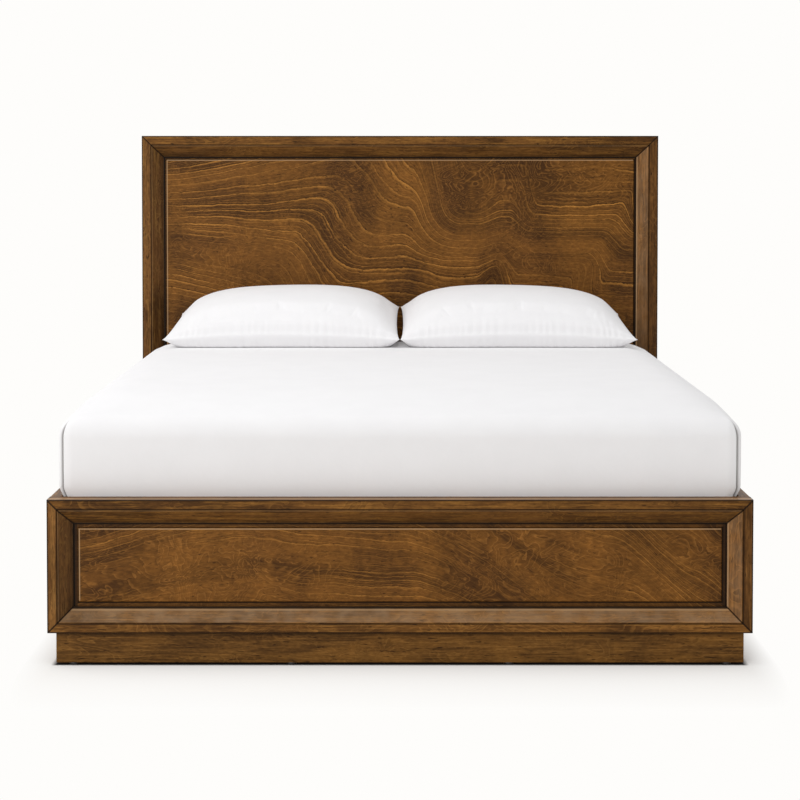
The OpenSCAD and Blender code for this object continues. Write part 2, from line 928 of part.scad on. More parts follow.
// The square around the pillow, anticlockwise, with more points towards its corners
tip_steps = 8;
function square_point(k) =
    let (edge = floor(k / tip_steps))
    let (way = -cos(180 * (k % tip_steps) / tip_steps))
    edge == 0 ? [1, way] : edge == 1 ? [-way, 1] : edge == 2 ? [-1, -way] : [way, -1];
function pillow_ring(share, face, grow) = [
    for (k = [0 : 4 * tip_steps - 1])
        let (q = square_point(k) * share)
        pillow_point(q[0], q[1], face, grow)
];

// Shares of the way from the middle of the pillow to its seam
low_shares = [0.45, 0.75, 0.92];
high_shares = [0.97, 0.88, 0.74, 0.55, 0.3];
module pillow_skin(side, grow) {
    mirror([side > 0 ? 1 : 0, 0, 0])
        translate([-pillow_x, pillow_y, 0])
            ring_body(
                concat(
                    [for (share = low_shares) pillow_ring(share, -1, grow)],
                    [pillow_ring(1, 1, grow)],
                    [for (share = high_shares) pillow_ring(share, 1, grow)]
                ),
                pillow_point(0, 0, -1, grow),
                pillow_point(0, 0, 1, grow)
            );
}

// The case is the outer skin, and the pillow lies slack inside it
module pillowcase(side) {
    color(cotton)
        difference() {
            pillow_skin(side, 0);
            pillow_skin(side, -case_t);
        }
}
module pillow(side) {
    color(ticking)
        pillow_skin(side, -case_t - case_slack);
}

module headboard_top_rail() { color(walnut) cross_rail(HEAD, true); }
module headboard_bottom_rail() { color(walnut) cross_rail(HEAD, false); }
module headboard_left_stile() { color(walnut) stile(HEAD, -1); }
module headboard_right_stile() { color(walnut) stile(HEAD, 1); }
module headboard_panel() { color(veneer) fielded_panel(HEAD); }
module headboard_back_panel() { color(walnut_dark) back_panel(HEAD); }
module headboard_plinth() { color(walnut_dark) end_plinth(1); }
module footboard_top_rail() { color(walnut) cross_rail(FOOT, true); }
module footboard_bottom_rail() { color(walnut) cross_rail(FOOT, false); }
module footboard_left_stile() { color(walnut) stile(FOOT, -1); }
module footboard_right_stile() { color(walnut) stile(FOOT, 1); }
module footboard_panel() { color(veneer) fielded_panel(FOOT); }
module footboard_back_panel() { color(walnut_dark) back_panel(FOOT); }
module footboard_plinth() { color(walnut_dark) end_plinth(-1); }
module mitre_splines() {
    color(poplar)
        for (board = [HEAD, FOOT])
            spline_set(board, 0);
}
module side_rail_left() { color(walnut) side_rail(-1); }
module side_rail_right() { color(walnut) side_rail(1); }
module ledger_left() { color(poplar) ledger(-1); }
module ledger_right() { color(poplar) ledger(1); }
module side_plinth_left() { color(walnut_dark) side_plinth(-1); }
module side_plinth_right() { color(walnut_dark) side_plinth(1); }
module plinth_glides() { color(black_plastic) glides(); }
module steel_bracket(end, side) { color(steel) corner_bracket(end, side); }
module corner_bolts() { color(zinc) place_bolts() button_bolt(); }
module threaded_inserts() {
    color(zinc) {
        place_board_inserts() insert();
        for (i = [1 : leg_count])
            place_leg_insert(i) insert();
    }
}
module bracket_screws() {
    color(zinc) {
        place_bracket_screws() pan_screw(bracket_screw_l, 0);
        place_hanger_screws() pan_screw(hanger_screw_l, 0);
    }
}
module ledger_screws() { color(zinc) place_ledger_screws() sunk_screw(ledger_screw_l, 0); }
module slat_screws() { color(zinc) place_slat_screws() sunk_screw(slat_screw_l, 0); }
module centre_beam() { color(poplar) beam(); }
module steel_hanger(end) { color(steel) beam_hanger(end); }
module wooden_leg(i) { color(poplar) centre_leg(i); }
module screw_foot(i) { color(black_plastic) levelling_foot(i); }

headboard_top_rail();
headboard_bottom_rail();
headboard_left_stile();
headboard_right_stile();
headboard_panel();
headboard_back_panel();
headboard_plinth();
footboard_top_rail();
footboard_bottom_rail();
footboard_left_stile();
footboard_right_stile();
footboard_panel();
footboard_back_panel();
footboard_plinth();
mitre_splines();
side_rail_left();
side_rail_right();
ledger_left();
ledger_right();
side_plinth_left();
side_plinth_right();
plinth_glides();
steel_bracket(1, -1);  // corner_bracket_head_left
steel_bracket(1, 1);  // corner_bracket_head_right
steel_bracket(-1, -1);  // corner_bracket_foot_left
steel_bracket(-1, 1);  // corner_bracket_foot_right
corner_bolts();
threaded_inserts();
bracket_screws();
ledger_screws();
slat_screws();
centre_beam();
steel_hanger(1);  // beam_hanger_head
steel_hanger(-1);  // beam_hanger_foot
wooden_leg(1);  // centre_leg_foot
wooden_leg(2);  // centre_leg_middle
wooden_leg(3);  // centre_leg_head
screw_foot(1);  // levelling_foot_foot
screw_foot(2);  // levelling_foot_middle
screw_foot(3);  // levelling_foot_head
slat(1);  // slat_1
slat(2);  // slat_2
slat(3);  // slat_3
slat(4);  // slat_4
slat(5);  // slat_5
slat(6);  // slat_6
slat(7);  // slat_7
slat(8);  // slat_8
slat(9);  // slat_9
slat(10);  // slat_10
slat(11);  // slat_11
slat(12);  // slat_12
slat(13);  // slat_13
mattress();
fitted_sheet();
pillow(-1);  // pillow_left
pillow(1);  // pillow_right
pillowcase(-1);  // pillowcase_left
pillowcase(1);  // pillowcase_right
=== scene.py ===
# %% [markdown]
# # A panel bed in stained wood, with a made-up mattress
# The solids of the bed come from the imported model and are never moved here. This script
# gives them wood, steel and plastic, and puts real cloth over the soft forms. Everything
# is in metres: X runs across the bed, Y from the foot to the head, Z up from the floor.

# %% Load the frame
import math

import bpy
import numpy as np
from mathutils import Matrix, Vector


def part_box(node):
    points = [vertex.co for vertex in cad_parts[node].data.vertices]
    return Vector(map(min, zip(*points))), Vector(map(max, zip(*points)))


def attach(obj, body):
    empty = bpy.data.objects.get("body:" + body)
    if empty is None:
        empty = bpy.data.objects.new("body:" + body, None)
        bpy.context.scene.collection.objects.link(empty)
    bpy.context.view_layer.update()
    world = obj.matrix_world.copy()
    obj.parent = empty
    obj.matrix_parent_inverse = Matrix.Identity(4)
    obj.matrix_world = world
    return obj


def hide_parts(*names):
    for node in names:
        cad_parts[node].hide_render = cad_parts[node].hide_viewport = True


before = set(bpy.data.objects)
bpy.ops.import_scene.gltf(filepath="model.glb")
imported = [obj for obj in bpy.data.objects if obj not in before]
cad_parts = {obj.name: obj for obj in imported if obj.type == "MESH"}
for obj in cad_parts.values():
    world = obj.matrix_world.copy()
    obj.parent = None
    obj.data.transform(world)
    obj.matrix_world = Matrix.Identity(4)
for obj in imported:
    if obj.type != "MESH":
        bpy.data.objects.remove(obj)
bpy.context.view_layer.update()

# %% [markdown]
# ## The camera
# The photograph was taken from straight in front of the foot of the bed, at the height of
# a standing person's chest, with a long lens. Such a picture can be framed by tilting the
# camera down or by shifting its lens. A tilt makes upright edges run together, so most
# product photographers shift. A little of both is used, so that other views stay framed.

# %% Camera
CAMERA_PLACE = (0.0, -6.6785, 1.1285)
CAMERA_DOWN = 2.5737
LENS_MM = 111.77
SHIFT_Y = -0.15

camera_data = bpy.data.cameras.new("camera")
camera_data.lens = LENS_MM
camera_data.sensor_width = 36.0
camera_data.shift_y = SHIFT_Y
camera = bpy.data.objects.new("camera", camera_data)
camera.location = CAMERA_PLACE
camera.rotation_euler = (math.radians(90 - CAMERA_DOWN), 0, 0)
bpy.context.scene.collection.objects.link(camera)
bpy.context.scene.camera = camera
print("camera", CAMERA_PLACE, "down", CAMERA_DOWN, "degrees")

# %% [markdown]
# ## Colours, sizes and nodes
# A colour picker gives sRGB hex values, and shaders calculate with linear light, so one
# function turns the one into the other. Patterns are sized from real millimetres: a noise
# of scale 1 has features one metre across. One helper adds any node.


# %% Colour, scale and node helpers
def linear(colour):
    """An sRGB hex colour in linear light."""
    channels = [int(colour[i:i + 2], 16) / 255 for i in (1, 3, 5)]
    return tuple(
        c / 12.92 if c <= 0.04045 else ((c + 0.055) / 1.055) ** 2.4 for c in channels
    ) + (1.0,)


def per_metre(millimetres):
    """The scale of a pattern whose features are so many millimetres wide."""
    return 1000.0 / millimetres


def add(tree, kind, inputs=(), out=0, **settings):
    """Adds a node, sets or links its inputs by name or in order, and gives one output."""
    made = tree.nodes.new("ShaderNode" + kind)
    for name, value in settings.items():
        setattr(made, name, value)
    for name, value in (inputs.items() if isinstance(inputs, dict) else enumerate(inputs)):
        if isinstance(value, bpy.types.NodeSocket):
            tree.links.new(value, made.inputs[name])
        else:
            made.inputs[name].default_value = linear(value) if isinstance(value, str) else value
    return made.outputs[out] if made.outputs else None


def new_material(name):
    """A material with no nodes yet, and its node tree."""
    material = bpy.data.materials.new(name)
    material.use_nodes = True
    material.node_tree.nodes.clear()
    return material, material.node_tree


print("mid brown in linear light:", [round(c, 4) for c in linear("#6d4823")])

# %% [markdown]
# ## The boards' own measures
# Head and foot board are picture frames: four mitred members with a flat border, a V
# groove and a bevel that leads down to a raised panel. The stain that was wiped off the
# flats stayed in the grooves and joints, and light and shade along them are painted in, so
# the colour needs to know where those are.
# Outer sizes are read from the solids. The widths of border, bevel and rim are the maker's.

# %% Board measures
HALF_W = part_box("headboard_top_rail")[1].x
BOARDS = {}
for board, border_mm, bevel_mm, depth_mm, rim_mm in (
    ("headboard", 28, 37, 30, 6),
    ("footboard", 22, 34, 27, 10),
):
    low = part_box(board + "_bottom_rail")[0]
    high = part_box(board + "_top_rail")[1]
    BOARDS[board] = {
        "front": low.y,
        "bottom": low.z,
        "top": high.z,
        "border": border_mm / 1000,
        "member": (border_mm + bevel_mm) / 1000,
        "depth": depth_mm / 1000,
        "rim": rim_mm / 1000,
    }
    print(board, {k: round(v, 4) for k, v in BOARDS[board].items()})

# %% [markdown]
# ## Stained solid wood
# The members are solid hardwood, planed, sanded, wiped with a brown stain and sealed with
# a thin satin lacquer. The eye sees blotches where the stain soaked in, golden streaks
# along the grain, short dark pores and a faint gleam. Grain is layered, so it is drawn as
# layers: a height field that mostly rises across the grain is bent by soft noise, and thin
# lines follow its levels.

# %% Space along the grain
def grain_space(tree, along, stretch):
    """Coordinates in which everything is long and thin along the grain."""
    place = add(tree, "TexCoord", out="Object")
    squeeze = [stretch if axis == along else 1.0 for axis in "XYZ"]
    return add(tree, "VectorMath", {0: place, 1: squeeze}, operation="MULTIPLY")


print("a pattern of 7 mm has scale", round(per_metre(7), 1))


# %% Rings, curls and fibres
CURL_MM, CURL_RINGS = 85, 21


def ring_lines(tree, colour, ring, share, pale, dark, crisp=0.12):
    """A pale line with a dark lee at the end of every ring; ring runs from 0 to 1."""
    after = add(tree, "MapRange", (ring, 0.0, crisp * 1.6, 0.75, 0.0))
    lee = add(tree, "Math", (after, share), operation="MULTIPLY")
    colour = add(tree, "Mix", {0: lee, 6: colour, 7: dark}, 2, data_type="RGBA")
    before = add(tree, "MapRange", (ring, 1 - crisp * 1.7, 1 - crisp * 0.4, 0.0, 1.0))
    crest = add(tree, "Math", (before, share), operation="MULTIPLY")
    return add(tree, "Mix", {0: crest, 6: colour, 7: pale}, 2, data_type="RGBA")


def curls(tree, colour, vector, share, pale, dark):
    """Small whorls that flat-cut wood shows between its growth rings."""
    hills = add(tree, "TexNoise", {
        "Vector": vector, "Scale": per_metre(CURL_MM), "Detail": 3.0, "Roughness": 0.45,
        "Distortion": 1.0})
    height = add(tree, "Math", (hills, CURL_RINGS), operation="MULTIPLY")
    ring = add(tree, "Math", (height,), operation="FRACT")
    return ring_lines(tree, colour, ring, share, pale, dark, 0.2)


def fibres(tree, colour, vector, size_mm, swing):
    """Lightens and darkens a colour by the bundles of fibres that take stain unevenly."""
    bundle = add(tree, "TexNoise", {
        "Vector": vector, "Scale": per_metre(size_mm), "Roughness": 0.6})
    gain = add(tree, "MapRange", (bundle, 0.3, 0.7, 1 - swing, 1 + swing))
    return add(tree, "VectorMath", {0: colour, "Scale": gain}, operation="SCALE")


print("curls:", CURL_RINGS, "rings to a hill of", CURL_MM, "mm")

# %% Stain and lacquer
BLOTCH_MM, PATCH_MM, STREAK_MM, FIBRE_MM, PORE_MM = 95, 60, 7.0, 5, 3.2
PORE_COLOUR = "#2c1b0a"
LACQUER_LEVEL = 0.08


def stained_grain(tree, along, dark, mid, light):
    """Colour and height of planed, stained wood."""
    wide = grain_space(tree, along, 0.4)
    fine = grain_space(tree, along, 0.05)
    blotch = add(tree, "TexNoise", {
        "Vector": wide, "Scale": per_metre(BLOTCH_MM), "Detail": 4.0, "Roughness": 0.62,
        "Distortion": 0.5})
    streak = add(tree, "TexNoise", {
        "Vector": fine, "Scale": per_metre(STREAK_MM), "Detail": 4.0, "Roughness": 0.7,
        "Distortion": 0.8})
    patch = add(tree, "TexNoise", {"Vector": wide, "Scale": per_metre(PATCH_MM), "Detail": 1.0})
    pore = add(tree, "TexNoise", {
        "Vector": grain_space(tree, along, 0.16), "Scale": per_metre(PORE_MM), "Detail": 1.0})
    blotchy = add(
        tree, "MapRange", (blotch, 0.38, 0.62, 0.0, 1.0), interpolation_type="SMOOTHSTEP")
    colour = add(tree, "Mix", {0: blotchy, 6: dark, 7: mid}, 2, data_type="RGBA")
    streaky = add(tree, "MapRange", (streak, 0.48, 0.7, 0.0, 0.85))
    colour = add(tree, "Mix", {0: streaky, 6: colour, 7: light}, 2, data_type="RGBA")
    thin = add(tree, "MapRange", (streak, 0.44, 0.3, 0.0, 0.6))
    colour = add(tree, "Mix", {0: thin, 6: colour, 7: PORE_COLOUR}, 2, data_type="RGBA")
    share = add(tree, "MapRange", (patch, 0.42, 0.62, 0.05, 0.45))
    colour = curls(tree, colour, wide, share, light, dark)
    pores = add(tree, "MapRange", (pore, 0.66, 0.74, 0.0, 0.85))
    colour = add(tree, "Mix", {0: pores, 6: colour, 7: PORE_COLOUR}, 2, data_type="RGBA")
    return fibres(tree, colour, grain_space(tree, along, 0.35), FIBRE_MM, 0.22), streak


def lacquered(tree, colour, height, roughness=0.42, bump=0.12):
    """Satin lacquer over a wood colour."""
    normal = add(tree, "Bump", {
        "Height": height, "Strength": bump, "Distance": 0.0004})
    shader = add(tree, "BsdfPrincipled", {
        "Base Color": colour, "Roughness": roughness, "IOR": 1.5,
        "Specular IOR Level": LACQUER_LEVEL, "Normal": normal})
    add(tree, "OutputMaterial", {"Surface": shader})


print("stain: blotches of", BLOTCH_MM, "mm, streaks of", STREAK_MM, "mm")

# %% [markdown]
# Stain pools in the mitre joints, and some in the V grooves. Light and shade along grooves
# and bevels are painted in as well, all as stripes at a distance from the board's outer
# edge, and the front is darker along the outer edges. Where the distance across and the
# distance up are the same lies the mitre. Painted highlights go on the walls that look up or
# to the left, towards the light, and painted shade on the walls behind, so every member says
# which way its inner side looks. Real glue lines are half a millimetre wide; they are drawn
# wider, so that they show at this distance.

# %% Stripes and distances on a board
STRIPE_BLUR = 0.4


def stripe(tree, colour, distance, centre, half_width, share, tone):
    """Paints a stripe where the distance is within half a width of its centre."""
    away = add(tree, "Math", (distance, centre), operation="SUBTRACT")
    off = add(tree, "Math", (away,), operation="ABSOLUTE")
    where = add(
        tree, "MapRange",
        (off, half_width * (1 - STRIPE_BLUR), half_width * (1 + STRIPE_BLUR), share, 0.0))
    return add(tree, "Mix", {0: where, 6: colour, 7: tone}, 2, data_type="RGBA")


def board_distances(tree, board):
    """Distances in from a board's left or top, right or bottom, either side, top or bottom
    and front."""
    place = add(tree, "TexCoord", out="Object")
    split = add(tree, "SeparateXYZ", {0: place}).node
    x, z = split.outputs["X"], split.outputs["Z"]
    left = add(tree, "Math", (x, HALF_W), operation="ADD")
    right = add(tree, "Math", (HALF_W, x), operation="SUBTRACT")
    over = add(tree, "Math", (board["top"], z), operation="SUBTRACT")
    under = add(tree, "Math", (z, board["bottom"]), operation="SUBTRACT")
    near = add(tree, "Math", (left, over), operation="MINIMUM")
    far = add(tree, "Math", (right, under), operation="MINIMUM")
    side = add(tree, "Math", (left, right), operation="MINIMUM")
    upright = add(tree, "Math", (over, under), operation="MINIMUM")
    back = add(tree, "Math", (split.outputs["Y"], board["front"]), operation="SUBTRACT")
    return near, far, side, upright, back


print("stripes fade over", STRIPE_BLUR, "of their half width")

# %% Stain and painted light of a member
POOLED_STAIN_AND_SHADE, PAINTED_HIGHLIGHT, PAINTED_SHEEN = "#150c04", "#c9a57c", "#a58a6c"
MITRE_LINE = 0.0023
SHEEN_MOTTLE_MM = 40


def stain_and_painted_light(tree, colour, board, looks_up, bevel_light, bevel_sheen, lip_shade=0.0):
    """Mitre stain and painted light of one member: looks_up tells a bottom or right member,
    whose inner walls face the light, and the last argument is the width of the painted
    shade along the joint with the panel."""
    near, far, side, upright, back = board_distances(tree, board)
    apart = add(tree, "Math", (side, upright), operation="SUBTRACT")
    mitre = add(tree, "Math", (apart,), operation="ABSOLUTE")
    behind = add(
        tree, "MapRange", (back, board["depth"] + 0.006, board["depth"] + 0.007, 0.0, 1.0))
    inward = add(tree, "Math", (far if looks_up else near, behind), operation="SUBTRACT")
    border, member = board["border"], board["member"]
    on_bevel = add(tree, "MapRange", (inward, border + 0.002, border + 0.003, 0.0, 1.0))
    # Painted light: the bevel is lightened or darkened for the side the light falls from.
    gain = add(tree, "MapRange", (on_bevel, 0.0, 1.0, 1.0, bevel_light))
    colour = add(tree, "VectorMath", {0: colour, "Scale": gain}, operation="SCALE")
    # Painted sheen: a grey, mottled veil on the bevels that face the light.
    place = add(tree, "TexCoord", out="Object")
    sheen_mottle = add(tree, "TexNoise", {"Vector": place, "Scale": per_metre(SHEEN_MOTTLE_MM), "Detail": 3.0})
    mottled_sheen = add(tree, "MapRange", (sheen_mottle, 0.35, 0.65, bevel_sheen * 0.6, bevel_sheen * 1.4))
    sheen_on_bevel = add(tree, "Math", (on_bevel, mottled_sheen), operation="MULTIPLY")
    colour = add(tree, "Mix", {0: sheen_on_bevel, 6: colour, 7: PAINTED_SHEEN}, 2, data_type="RGBA")
    # Painted highlights on the groove and bevel walls that face the light, painted shade on
    # those behind; the dark line in the groove is partly pooled stain.
    if looks_up:
        colour = stripe(tree, colour, inward, border - 0.0006, 0.0014, 0.80, POOLED_STAIN_AND_SHADE)
        colour = stripe(tree, colour, inward, member - lip_shade - 0.0020, 0.0015, 0.50, PAINTED_HIGHLIGHT)
        colour = stripe(tree, colour, inward, member, lip_shade, 0.95, POOLED_STAIN_AND_SHADE)
    else:
        colour = stripe(tree, colour, inward, border, 0.0016, 0.75, POOLED_STAIN_AND_SHADE)
        colour = stripe(tree, colour, inward, border + 0.0030, 0.0012, 0.14, PAINTED_HIGHLIGHT)
        # Painted shade, deepening towards the panel, on members that face away from the light.
        shade = add(tree, "MapRange", (inward, member - 0.012, member, 0.0, 0.55))
        colour = add(tree, "Mix", {0: shade, 6: colour, 7: POOLED_STAIN_AND_SHADE}, 2, data_type="RGBA")
    colour = stripe(tree, colour, mitre, 0.0, MITRE_LINE, 0.92, POOLED_STAIN_AND_SHADE)
    # Painted reflection: a pale band across the front of the top face.
    if not looks_up:
        top_reflection = add(tree, "MapRange", (near, 0.0008, 0.0012, 0.66, 0.0))
        colour = stripe(tree, colour, back, 0.020, 0.007, top_reflection, PAINTED_HIGHLIGHT)
    # The front face is darker along its outer edges.
    front = add(tree, "MapRange", (back, 0.0035, 0.0045, 1.0, 0.0))
    edge = add(tree, "Math", (near, far), operation="MINIMUM")
    at_edge = add(tree, "MapRange", (edge, 0.0024, 0.0036, 0.8, 0.0))
    outer = add(tree, "Math", (at_edge, front), operation="MULTIPLY")
    return add(tree, "Mix", {0: outer, 6: colour, 7: POOLED_STAIN_AND_SHADE}, 2, data_type="RGBA")


print("a mitre is drawn", MITRE_LINE * 2000, "mm wide")

# %% A stained member
UNDER_BOARD = 0.012


def stained_member(name, along, dark, mid, light, board=None, painted_light=None, plinth=None):
    """Stained wood; a member gets its own painted light, a plinth painted shade at its top."""
    material, tree = new_material(name)
    colour, height = stained_grain(tree, along, dark, mid, light)
    if board:
        colour = stain_and_painted_light(tree, colour, BOARDS[board], *painted_light)
    if plinth:
        # Painted shadow along the top of the plinth, under the board that overhangs it.
        place = add(tree, "TexCoord", out="Object")
        up = add(tree, "SeparateXYZ", {0: place}, out=2)
        shade = add(tree, "MapRange", (up, plinth[1].z - UNDER_BOARD, plinth[1].z, 0.0, 0.9))
        colour = add(tree, "Mix", {0: shade, 6: colour, 7: POOLED_STAIN_AND_SHADE}, 2, data_type="RGBA")
    lacquered(tree, colour, height)
    return material


print("the board shades the upper", UNDER_BOARD * 1000, "mm of its plinth")


# %% [markdown]
# ## Figured veneer
# The panels carry rotary-cut veneer. The knife slices the growth rings at a shallow angle,
# so they show as flowing contour lines, like the height lines of a map. That is also the
# way to draw them: a smooth height field is laid over the panel, with the sweeps and folds
# of this log, and rings of three sizes follow its levels. The end of a ring is a thin pale
# line with a dark lee. Where a patch has few rings, small whorls show instead.

# %% Height fields of the two panels
def sweep(tree, value, start, end, drop):
    """A smooth step of the height field: from 0 before start to drop after end."""
    return add(
        tree, "MapRange", (value, start, end, 0.0, drop), interpolation_type="SMOOTHSTEP")


def leaning(tree, x, z, lean):
    """X, taken along a line that leans over by so much per metre of height."""
    return add(tree, "Math", (z, -lean, x), operation="MULTIPLY_ADD")


def total(tree, *parts):
    """The sum of several values."""
    result = parts[0]
    for part in parts[1:]:
        result = add(tree, "Math", (result, part), operation="ADD")
    return result


def headboard_figure(tree, x, z):
    """A fan that opens from the left, a long sweep down, a cliff and two small steps."""
    reach = add(tree, "Math", (0.99, z), operation="SUBTRACT")
    fan = add(tree, "Math", (reach, sweep(tree, x, -0.8, -0.16, 0.52)), operation="MULTIPLY")
    first = sweep(tree, leaning(tree, x, z, 0.7), -1.00, -0.70, 0.075)
    depth = sweep(tree, z, 0.80, 1.02, 0.145)
    cliff = sweep(tree, leaning(tree, x, z, 0.15), -0.13, 0.05, 1.0)
    cliff = add(tree, "Math", (cliff, total(tree, depth, 0.015)), operation="MULTIPLY")
    hump = sweep(tree, x, 0.235, 0.32, -0.028)
    third = sweep(tree, leaning(tree, x, z, 0.3), 0.04, 0.13, 0.062)
    fourth = sweep(tree, leaning(tree, x, z, 0.7), -0.03, 0.10, 0.080)
    return total(tree, z, fan, first, cliff, hump, third, fourth)


def footboard_figure(tree, x, z):
    """Rising at the left, nearly level in the middle, and steeply down at the right."""
    rise = sweep(tree, leaning(tree, x, z, 0.4), -1.02, -0.47, -0.11)
    crest = sweep(tree, x, -0.36, -0.20, 0.022)
    level = add(tree, "MapRange", (x, -0.2, 0.1, 0.0, 0.015))
    bend = leaning(tree, x, z, -0.36)
    dive = total(tree, sweep(tree, bend, 0.09, 0.44, 0.15), sweep(tree, bend, 0.22, 0.60, 0.14))
    steep = sweep(tree, bend, 0.58, 0.76, 0.17)
    tail = sweep(tree, bend, 0.74, 0.88, 0.12)
    return total(tree, z, rise, crest, level, dive, steep, tail)


print("two height fields are ready, for the panels of", " and ".join(BOARDS))

# %% Where whorls show, and rings of uneven width
WHORLS = {
    "headboard": ((0.42, 1.10, 0.30, 0.07), (0.20, 1.05, 0.09, 0.06)),
    "footboard": ((-0.48, 0.21, 0.30, 0.08), (0.28, 0.27, 0.10, 0.06),
                  (0.46, 0.21, 0.08, 0.06), (0.68, 0.27, 0.08, 0.05)),
}


def oval(tree, x, z, ragged, centre_x, centre_z, half_x, half_z):
    """1 inside an oval with a ragged edge, 0 outside."""
    off_x = add(tree, "Math", (x, centre_x), operation="SUBTRACT")
    across = add(tree, "Math", (off_x, half_x), operation="DIVIDE")
    off_z = add(tree, "Math", (z, centre_z), operation="SUBTRACT")
    up = add(tree, "Math", (off_z, half_z), operation="DIVIDE")
    squared = add(tree, "Math", (across, across), operation="MULTIPLY")
    off = add(tree, "Math", (up, up, squared), operation="MULTIPLY_ADD")
    off = add(tree, "Math", (ragged, 3.0, off), operation="MULTIPLY_ADD")
    return add(tree, "MapRange", (off, 1.9, 3.1, 1.0, 0.0), interpolation_type="SMOOTHSTEP")


def rings_of(tree, level, along, size_mm, wander):
    """Position within a ring, from 0 to 1, for rings of uneven width."""
    line = add(tree, "CombineXYZ", {"X": level, "Y": along, "Z": 0.0})
    drift = add(tree, "TexNoise", {"Vector": line, "Scale": per_metre(size_mm * 2.6)})
    count = add(tree, "Math", (level, per_metre(size_mm)), operation="MULTIPLY")
    place_in = add(tree, "Math", (drift, wander, count), operation="MULTIPLY_ADD")
    return add(tree, "Math", (place_in,), operation="FRACT")


print("whorls:", {board: len(ovals) for board, ovals in WHORLS.items()})

# %% Painted shade and highlight on the panel's sunk rim
RIM_SHADE = "#2b1a0b"


def panel_edges(tree, colour, board):
    """Darkens the sunk rim with painted shade, more at the sides, and paints shade and a
    highlight along the edges of the raised field.
    """
    near, far, side, upright, _ = board_distances(tree, BOARDS[board])
    member = BOARDS[board]["member"]
    field = member + BOARDS[board]["rim"]
    rim = add(tree, "Math", (side, upright), operation="MINIMUM")
    # Painted shade in the sunk rim, deeper at the sides.
    for distance, share in ((rim, 0.5), (side, 0.75)):
        sunk = add(tree, "MapRange", (distance, field - 0.001, field, share, 0.0))
        colour = add(tree, "Mix", {0: sunk, 6: colour, 7: RIM_SHADE}, 2, data_type="RGBA")
    # Painted shade along the edges away from the light, a painted highlight on the field's edge
    # towards it.
    for distance, other, centre, half_width, share, tone in (
        (far, near, field - 0.0003, 0.0018, 0.92, POOLED_STAIN_AND_SHADE),
        (side, upright, member + 0.0012, 0.0018, 0.90, POOLED_STAIN_AND_SHADE),
        (near, far, member + 0.0018, 0.0022, 0.97, POOLED_STAIN_AND_SHADE),
        (near, far, field + 0.0012, 0.0012, 0.70, POOLED_STAIN_AND_SHADE),
        (near, far, field + 0.0042, 0.0014, 0.62, PAINTED_HIGHLIGHT),
    ):
        share = add(tree, "MapRange", (other, centre - 0.001, centre, 0.0, share))
        colour = stripe(tree, colour, distance, centre, half_width, share, tone)
    return colour


print("raised fields start", [b["member"] + b["rim"] for b in BOARDS.values()], "m in")

# %% The veneer's levels
SWELL_MM, RIPPLE_MM, JAG_MM = 150, 24, 7
RIPPLE_SHARE, JAG_HEIGHT = 0.28, 0.002


def veneer_levels(tree, place, x, z, figure, warp_mm):
    """The height field, bent by noises of three sizes; gives also the slowest noise."""
    slow = add(tree, "TexNoise", {"Vector": place, "Scale": per_metre(SWELL_MM)})
    quick = add(tree, "TexNoise", {
        "Vector": place, "Scale": per_metre(RIPPLE_MM), "Distortion": 0.4})
    jagged = add(tree, "TexNoise", {
        "Vector": place, "Scale": per_metre(JAG_MM), "Detail": 1.0})
    swell = add(tree, "Math", (slow, warp_mm / 1000), operation="MULTIPLY")
    ripple = add(tree, "Math", (quick, warp_mm / 1000 * RIPPLE_SHARE), operation="MULTIPLY")
    jag = add(tree, "Math", (jagged, JAG_HEIGHT), operation="MULTIPLY")
    return total(tree, figure(tree, x, z), swell, ripple, jag), slow


print("levels are bent by noises of", SWELL_MM, RIPPLE_MM, JAG_MM, "mm")

# %% The veneer's light and dark
CLOUD_MM, BROAD_MM = 170, 60
DARK_BAND = "#3b240e"


def veneer_ground(tree, line, dark, mid, light):
    """Clouds of stain, and broad bands that follow the levels."""
    cloud = add(tree, "TexNoise", {
        "Vector": grain_space(tree, "Z", 0.5), "Scale": per_metre(CLOUD_MM), "Detail": 4.0,
        "Roughness": 0.6})
    broad = add(tree, "TexNoise", {"Vector": line, "Scale": per_metre(BROAD_MM)})
    cloudy = add(
        tree, "MapRange", (cloud, 0.41, 0.59, 0.0, 1.0), interpolation_type="SMOOTHSTEP")
    bright = add(
        tree, "MapRange", (broad, 0.45, 0.62, 0.0, 0.45), interpolation_type="SMOOTHSTEP")
    deep = add(
        tree, "MapRange", (broad, 0.45, 0.33, 0.0, 0.6), interpolation_type="SMOOTHSTEP")
    colour = add(tree, "Mix", {0: cloudy, 6: dark, 7: mid}, 2, data_type="RGBA")
    colour = add(tree, "Mix", {0: bright, 6: colour, 7: light}, 2, data_type="RGBA")
    return add(tree, "Mix", {0: deep, 6: colour, 7: DARK_BAND}, 2, data_type="RGBA")


print("stain clouds of", CLOUD_MM, "mm, bands of", BROAD_MM, "mm")

# %% The veneer's rings
RING_MM, MIDDLE_RING_MM, FINE_RING_MM, BAND_MM = 18, 7.0, 3.0, 75
PALE_LINE, MIDDLE_PALE, FINE_PALE, DARK_LINE = "#b07936", "#9d6a2e", "#95642c", "#321e0a"


